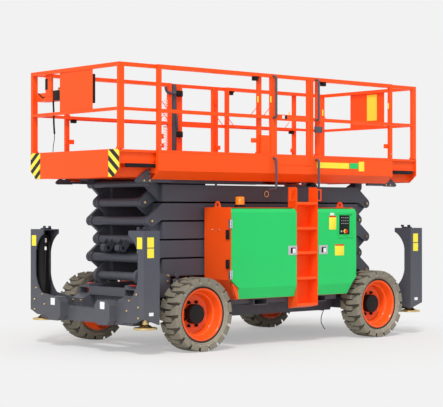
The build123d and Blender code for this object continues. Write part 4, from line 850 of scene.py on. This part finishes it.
class LIFT_OT_rails(LiftOperator, bpy.types.Operator):
    """Gussets, clamps, pins, latches, the cable duct and blank labels of the guard rails"""

    bl_idname = "lift.rails"
    bl_label = "Rail fittings"

    def clamp(self, x, side, lean, z):
        """Toggle clamp below a rail: a block and a hook."""
        y = side * (RAIL_FACE - 0.03)
        shapes = [soft_box((x - 0.035, y - 0.022, z - 0.05), (x + 0.035, y + 0.022, z - 0.001), 0.006)]
        near = x - lean * 0.04
        far = near - lean * 0.02
        hook = bend([(near, y, z - 0.02), (far, y, z), (far, y, z + 0.045)], 0.012)
        return shapes + [tube(hook, 0.009, (0, 1, 0), 10)]

    def gusset(self, x, side, lean, z):
        """Thin round brace from a post down to the rail below it."""
        y = side * (RAIL_FACE - 0.02)
        return tube([(x, y, z + 0.085), (x + lean * 0.085, y, z)], 0.0045, (0, 1, 0), 8)

    def duct(self):
        """Cable duct with two clamps and a bent hose at the right gate."""
        y = -RAIL_FACE + 0.05
        top, low = RAIL_TOP - 0.01, 2.26
        pole = soft_box((0.232, y - 0.022, low), (0.282, y + 0.022, top), 0.006)
        near = y + 0.045
        loop = bend([(0.43, near, top - 0.04), (0.42, near, top - 0.115), (0.27, near, top - 0.12)], 0.06)
        fall = bend([(0.25, y + 0.03, 2.86), (0.245, near, 2.74), (0.225, y + 0.03, 2.6)], 0.05)
        hose = tube(loop, 0.017, (0, 1, 0), 12)
        tail = tube(fall, 0.014, (0, 1, 0), 12)
        clamps = [soft_box((0.13, y - 0.03, z - 0.035), (0.232, y + 0.03, z + 0.04), 0.008)
                  for z in (3.07, 2.55)]
        piece("cable_duct", [pole, hose, tail], "grey enamel", "platform")
        piece("duct_clamps", clamps, "black plastic", "platform")
        slats, pitch = [], 0.0335
        for rise in pitch * np.arange(19):
            slats.append(soft_box((0.345, y - 0.01, 2.36 + rise), (0.425, y + 0.01, 2.383 + rise), 0.002))
        piece("pale_slats", slats, "pale plastic", "platform")

    def plates(self, face):
        """Junction box and blank labels on the platform's left face."""
        box = soft_box((-0.612, face, 2.526), (-0.505, face + 0.04, 2.6), 0.004)
        piece("junction_box", [box], "grey enamel", "platform")
        skin = face + 0.0045
        plates = [label((-1.113, face, 2.097), (-0.553, skin, 2.167))]
        plates.append(label((-1.385, face, 2.07), (-1.29, skin, 2.19)))
        green = [label((-1.278, face, 2.1), (-1.13, skin, 2.17))]
        piece("side_labels", plates, "yellow label", "platform")
        piece("green_label", green, "green enamel", "platform")

    def latches(self, face):
        """Pale latch and dark catch on each gate."""
        for name, x, side in (("left", -0.01, 1), ("right", -0.3, -1)):
            skin = face + 0.006
            pale = side_box(side, (x, face, 2.672), (x + 0.04, skin, 2.712), 0.002)
            dark = side_box(side, (x - 0.038, face, 2.672), (x - 0.002, skin, 2.712), 0.002)
            piece(f"gate_latch_{name}", [pale], "pale plastic", f"{name}_gate")
            piece(f"gate_catch_{name}", [dark], "black plastic", f"{name}_gate")

    def execute(self, context):
        clamps, gussets, stickers, pins, tabs = [], [], [], [], []
        face, high, low, mid = RAIL_FACE, RAIL_TOP - 0.043, 2.68, RAIL_TOP - 0.492
        # places along the machine, each with its side, the way it leans and its height
        clamp_spots = ((0.44, 1, 1, high), (-0.69, 1, -1, high), (-0.72, -1, 1, high), (-1.83, -1, 1, low),
                       (1.8, -1, -1, low))
        for spot in clamp_spots:
            clamps += self.clamp(*spot)
        gusset_spots = [(0.424, 1, 1), (0.221, 1, 1), (-0.64, 1, -1), (1.845, 1, -1), (-0.505, -1, -1),
                        (-0.7, -1, -1), (-1.8, -1, 1), (0.4, -1, 1)]
        gussets += [self.gusset(*spot, mid) for spot in gusset_spots]
        gussets.append(self.gusset(1.845, 1, -1, MID_RAIL - 0.09))
        sticker_spots = ((0.42, 2.885, 1), (0.213, 2.895, 1), (-0.653, 2.775, 1), (0.335, 2.96, -1),
                         (-1.82, 2.9, -1), (-1.837, 2.915, 1))
        for x, z, side in sticker_spots:
            ends = ((x - 0.011, face - 0.0005, z - 0.036), (x + 0.011, face + 0.001, z + 0.036))
            stickers.append(side_box(side, *ends, 0.0006, 1))
        for x in (1.84, 0.45, -0.49, -1.84):
            for _, side in SIDES:
                y = side * (face - 0.045)
                tabs.append(soft_box((x - 0.035, y - 0.012, 2.375), (x + 0.035, y + 0.012, 2.43), 0.006))
        for x in (1.885, -1.88):
            for _, side in SIDES:
                pins.append(rod((x, side * (face - 0.006), 2.3), (x, side * (face + 0.016), 2.3), 0.008, 12))
        piece("rail_clamps", clamps, "black plastic", "platform")
        piece("rail_gussets", gussets + tabs, "orange enamel", "platform")
        piece("rail_stickers", stickers, "yellow label", "platform")
        piece("rail_pins", pins, "silver steel", "platform")
        self.plates(face)
        self.latches(face)
        self.duct()
        return {"FINISHED"}


class LIFT_OT_roll_out_decks(LiftOperator, bpy.types.Operator):
    """Hazard stripes, black strips of painted shade in the side slots, support bolts and a blank plate of the
    roll-out decks
    """

    bl_idname = "lift.roll_out_decks"
    bl_label = "Roll-out decks"

    def execute(self, context):
        low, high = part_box("front_extension_deck")
        x, wide, bottom, top = high[0], high[1] - 0.003, low[2] + 0.003, high[2] - 0.003
        corner = [(0.665, top), (wide, top), (wide, bottom + 0.094), (0.762, bottom), (0.665, bottom)]
        mirrored = [(-y, z) for y, z in corner]
        for name, outline in (("left", corner), ("right", mirrored)):
            mark = slab(outline, 0, x, x + 0.0012)
            piece(f"stripes_{name}", [mark], f"stripes {name}", "front_extension")
        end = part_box("rear_extension_rails")[0][0]
        inner_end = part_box("platform_deck")[1][0]
        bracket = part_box("extension_supports")[1][1]
        spots = [(0.097, 1.91), (0.018, 1.91), (0.016, 1.962), (0.016, 2.012)]
        bolts = [bolt((sign * (inner_end + dx), side * bracket, z), (0, side, 0), 0.022, 0.01)
                 for sign in (1, -1) for _, side in SIDES for dx, z in spots]
        piece("support_bolts", bolts, "yellow zinc", "platform")
        for name, sign in (("front", 1), ("rear", -1)):
            # black strips along the deck sides: painted shade in the open slot under the side channel
            shade_strips = []
            for _, side in SIDES:
                x0, x1 = sorted((sign * (inner_end + 0.004), sign * (x - 0.075)))
                shade_strips.append(side_box(side, (x0, wide + 0.001, 2.05), (x1, wide + 0.004, 2.094), 0.001))
            piece(f"side_slot_shade_{name}", shade_strips, "black plastic", f"{name}_extension")
        plate = label((end + 0.0138, 0.0, 2.79), (end + 0.0155, 0.18, 3.14))
        piece("rear_plate", [plate], "yellow label", "rear_extension")
        return {"FINISHED"}


class LIFT_OT_console(LiftOperator, bpy.types.Operator):
    """Tray, case, joystick, stop button and cords of the platform console"""

    bl_idname = "lift.console"
    bl_label = "Console"

    def cord(self, name, points, diameter, node, far_end):
        """Smooth curve led by given control points, with a round section."""
        curve = bpy.data.curves.new(name, "CURVE")
        curve.dimensions = "3D"
        curve.bevel_depth = diameter / 2
        curve.bevel_resolution = 3
        curve.resolution_u = 12
        spline = curve.splines.new("NURBS")
        spline.points.add(len(points) - 1)
        for point, place in zip(spline.points, points):
            point.co = (*place, 1)
        spline.order_u = 3
        spline.use_endpoint_u = True
        curve.materials.append(bpy.data.materials["black rubber"])
        obj = placed(name, curve)
        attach(obj, frame["nodes"][node]["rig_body"])
        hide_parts(node)

    def box(self):
        """Orange tray and post with the black control box, stop button and grip."""
        low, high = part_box("console")
        x0, x1, z0 = low[0], high[0], low[2]
        split, body = -0.49, "front_extension"
        tray = [soft_box((x0, low[1], z0), (x1 - 0.006, split, z0 + 0.1), 0.006)]
        tray.append(soft_box((x1 - 0.03, -0.622, z0 + 0.05), (x1, -0.5, high[2]), 0.004))
        piece("console_tray", tray, "orange enamel", body, replaces=("console",))
        case = [soft_box((x0 + 0.002, split + 0.001, z0), (x1 - 0.012, high[1], z0 + 0.118), 0.01)]
        case.append(soft_box((x1 - 0.028, -0.628, z0 + 0.13), (x1 + 0.001, -0.57, z0 + 0.262), 0.005))
        case.append(rod((x1 - 0.08, -0.66, z0 + 0.09), (x1 - 0.08, -0.66, z0 + 0.15), 0.012, 16))
        loop = [(x1 - 0.03, -0.6, z0 + 0.13), (x1 - 0.004, -0.66, z0 + 0.03), (x1 - 0.004, -0.77, z0 + 0.1)]
        case.append(tube(bend(loop, 0.04), 0.007, (1, 0, 0), 10))
        piece("console_case", case, "black plastic", body)
        centre = (x1 - 0.08, -0.44, z0 + 0.117)
        collar = turned([(0, 0.0), (0, 0.03), (0.012, 0.03), (0.012, 0.0)], centre, (0, 0, 1), 28)
        piece("console_stop_collar", [collar], "yellow label", body)
        knob = [(0.011, 0.0), (0.011, 0.02), (0.02, 0.021), (0.032, 0.024), (0.036, 0.018), (0.036, 0.0)]
        piece("console_stop", [turned(knob, centre, (0, 0, 1), 28)], "red plastic", body)
        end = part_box("front_extension_rails")[1][0]
        back = soft_box((end - 0.06, -0.2, 2.775), (end - 0.0145, 0.345, 3.1), 0.006)
        piece("panel_back_box", [back], "black plastic", body)

    def execute(self, context):
        lead = [(2.33, -0.53, 2.85), (2.324, -0.526, 2.725), (2.33, -0.52, 2.59), (2.336, -0.494, 2.468)]
        thin = [lead[-1], (2.332, -0.5, 2.4), (2.33, -0.528, 2.33), (2.324, -0.544, 2.25)]
        thin += [(2.31, -0.54, 2.18), (2.296, -0.532, 2.13)]
        strap = [(-1.037, 0.54, 0.33), (-1.003, 0.54, 0.277), (-0.984, 0.543, 0.217)]
        strap += [(-0.994, 0.54, 0.15), (-1.06, 0.54, 0.084)]
        self.box()
        self.cord("console_lead_cord", lead, 0.022, "console_lead", "object")
        self.cord("console_wire_cord", thin, 0.008, "console_wire", "object")
        self.cord("earth_strap_cord", strap, 0.01, "earth_strap", "bare")
        return {"FINISHED"}


class LIFT_OT_stage(LiftOperator, bpy.types.Operator):
    """Floor, soft light and camera"""

    bl_idname = "lift.stage"
    bl_label = "Stage"

    def floor(self, colour):
        """Pale floor that keeps the shadow near the machine and fades into the backdrop far from it."""
        points, faces = grid(np.array([[(x, y, 0.0) for y in (-80, 80)] for x in (-80, 80)], float))
        mesh = bpy.data.meshes.new("studio_floor")
        mesh.from_pydata(points.tolist(), [], faces)
        obj = placed("studio_floor", mesh)
        material = bpy.data.materials.new("studio floor")
        material.use_nodes = True
        tree = material.node_tree
        plain = {"Base Color": (*colour[:3], 1), "Roughness": 0.9, "Specular IOR Level": 0.0}
        shader = wire(tree, tree.nodes["Principled BSDF"], plain)
        glow = shader_node(tree, "Emission", {"Color": (BACKDROP, BACKDROP, BACKDROP, 1)})
        far = shader_node(tree, "VectorMath", {0: object_place(tree)}, operation="LENGTH").outputs["Value"]
        ramp = {"Value": far, "From Min": 2.2, "From Max": 4.4, "To Min": 0.42}
        fade = shader_node(tree, "MapRange", ramp, interpolation_type="SMOOTHSTEP").outputs["Result"]
        part = math_value(tree, "MULTIPLY", seen_rays(tree), fade)
        mixed = shader_node(tree, "MixShader", {"Fac": part, 1: shader.outputs[0], 2: glow.outputs[0]})
        wire(tree, tree.nodes["Material Output"], {"Surface": mixed.outputs[0]})
        mesh.materials.append(material)

    def world(self):
        """Even light, seen as a white backdrop by the camera, in gloss and through glass."""
        world = bpy.data.worlds.new("studio")
        bpy.context.scene.world = world
        world.use_nodes = True
        tree = world.node_tree
        white = (1, 1, 1, 1)
        light = wire(tree, tree.nodes["Background"], {"Color": white, "Strength": 0.62})
        backdrop = shader_node(tree, "Background", {"Color": white, "Strength": BACKDROP})
        inputs = {"Fac": seen_rays(tree), 1: light.outputs[0], 2: backdrop.outputs[0]}
        mixed = shader_node(tree, "MixShader", inputs)
        wire(tree, tree.nodes["World Output"], {"Surface": mixed.outputs[0]})

    def turn(self, obj, back):
        """Turns a lamp or a camera so that its back points along a direction."""
        obj.rotation_euler = Vector(back).to_track_quat("Z", "Y").to_euler()

    def sun(self, name, source, strength, spread):
        """Distant lamp that shines from a direction."""
        lamp = bpy.data.lights.new(name, "SUN")
        lamp.energy = strength
        lamp.angle = math.radians(spread)
        self.turn(placed(name, lamp), source)

    def camera(self):
        """Camera at a standing person's height, off the front left corner."""
        camera = bpy.data.cameras.new("camera")
        camera.sensor_fit = "HORIZONTAL"
        camera.sensor_width = 36
        camera.lens = self.sizes.lens
        camera.clip_end = 300
        obj = placed("camera", camera)
        obj.location = (11.7511, 13.2819, 1.563)
        yaw, pitch = 0.71584, -0.00581
        self.turn(obj, (math.sin(yaw) * math.cos(pitch), math.cos(yaw) * math.cos(pitch), math.sin(pitch)))
        bpy.context.scene.camera = obj

    def execute(self, context):
        context.scene.view_settings.view_transform = "Standard"
        self.floor(context.scene.lift_colours.floor)
        self.world()
        self.sun("key_lamp", (0.44, 0.42, 0.8), 1.7, 12)
        self.sun("fill_lamp", (0.85, 0.5, 0.2), 0.8, 40)
        self.camera()
        return {"FINISHED"}


STEPS = (
    LIFT_OT_finishes,
    LIFT_OT_stage,
    LIFT_OT_console,
    LIFT_OT_tyres,
    LIFT_OT_wheels,
    LIFT_OT_scissor,
    LIFT_OT_outriggers,
    LIFT_OT_chassis,
    LIFT_OT_doors,
    LIFT_OT_beacon,
    LIFT_OT_grab_bars,
    LIFT_OT_rails,
    LIFT_OT_roll_out_decks,
)


class LIFT_PT_panel(bpy.types.Panel):
    """Sidebar panel with the lift's colours, sizes and pieces"""

    bl_idname = "LIFT_PT_panel"
    bl_label = "Scissor lift"
    bl_space_type = "VIEW_3D"
    bl_region_type = "UI"
    bl_category = "Scissor lift"

    def draw(self, context):
        for group in (context.scene.lift_colours, context.scene.lift_sizes):
            box = self.layout.box()
            for setting in group.__annotations__:
                box.prop(group, setting)
        for step in STEPS:
            self.layout.operator(step.bl_idname)


CLASSES = (LiftColours, LiftSizes, *STEPS, LIFT_PT_panel)


def register():
    for item in CLASSES:
        bpy.utils.register_class(item)
    bpy.types.Scene.lift_colours = PointerProperty(type=LiftColours)
    bpy.types.Scene.lift_sizes = PointerProperty(type=LiftSizes)


def unregister():
    del bpy.types.Scene.lift_colours
    del bpy.types.Scene.lift_sizes
    for item in reversed(CLASSES):
        bpy.utils.unregister_class(item)


def main():
    """Registers the add-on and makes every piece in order."""
    register()
    for step in STEPS:
        getattr(bpy.ops.lift, step.bl_idname.split(".")[1])()


if __name__ == "__main__":
    main()
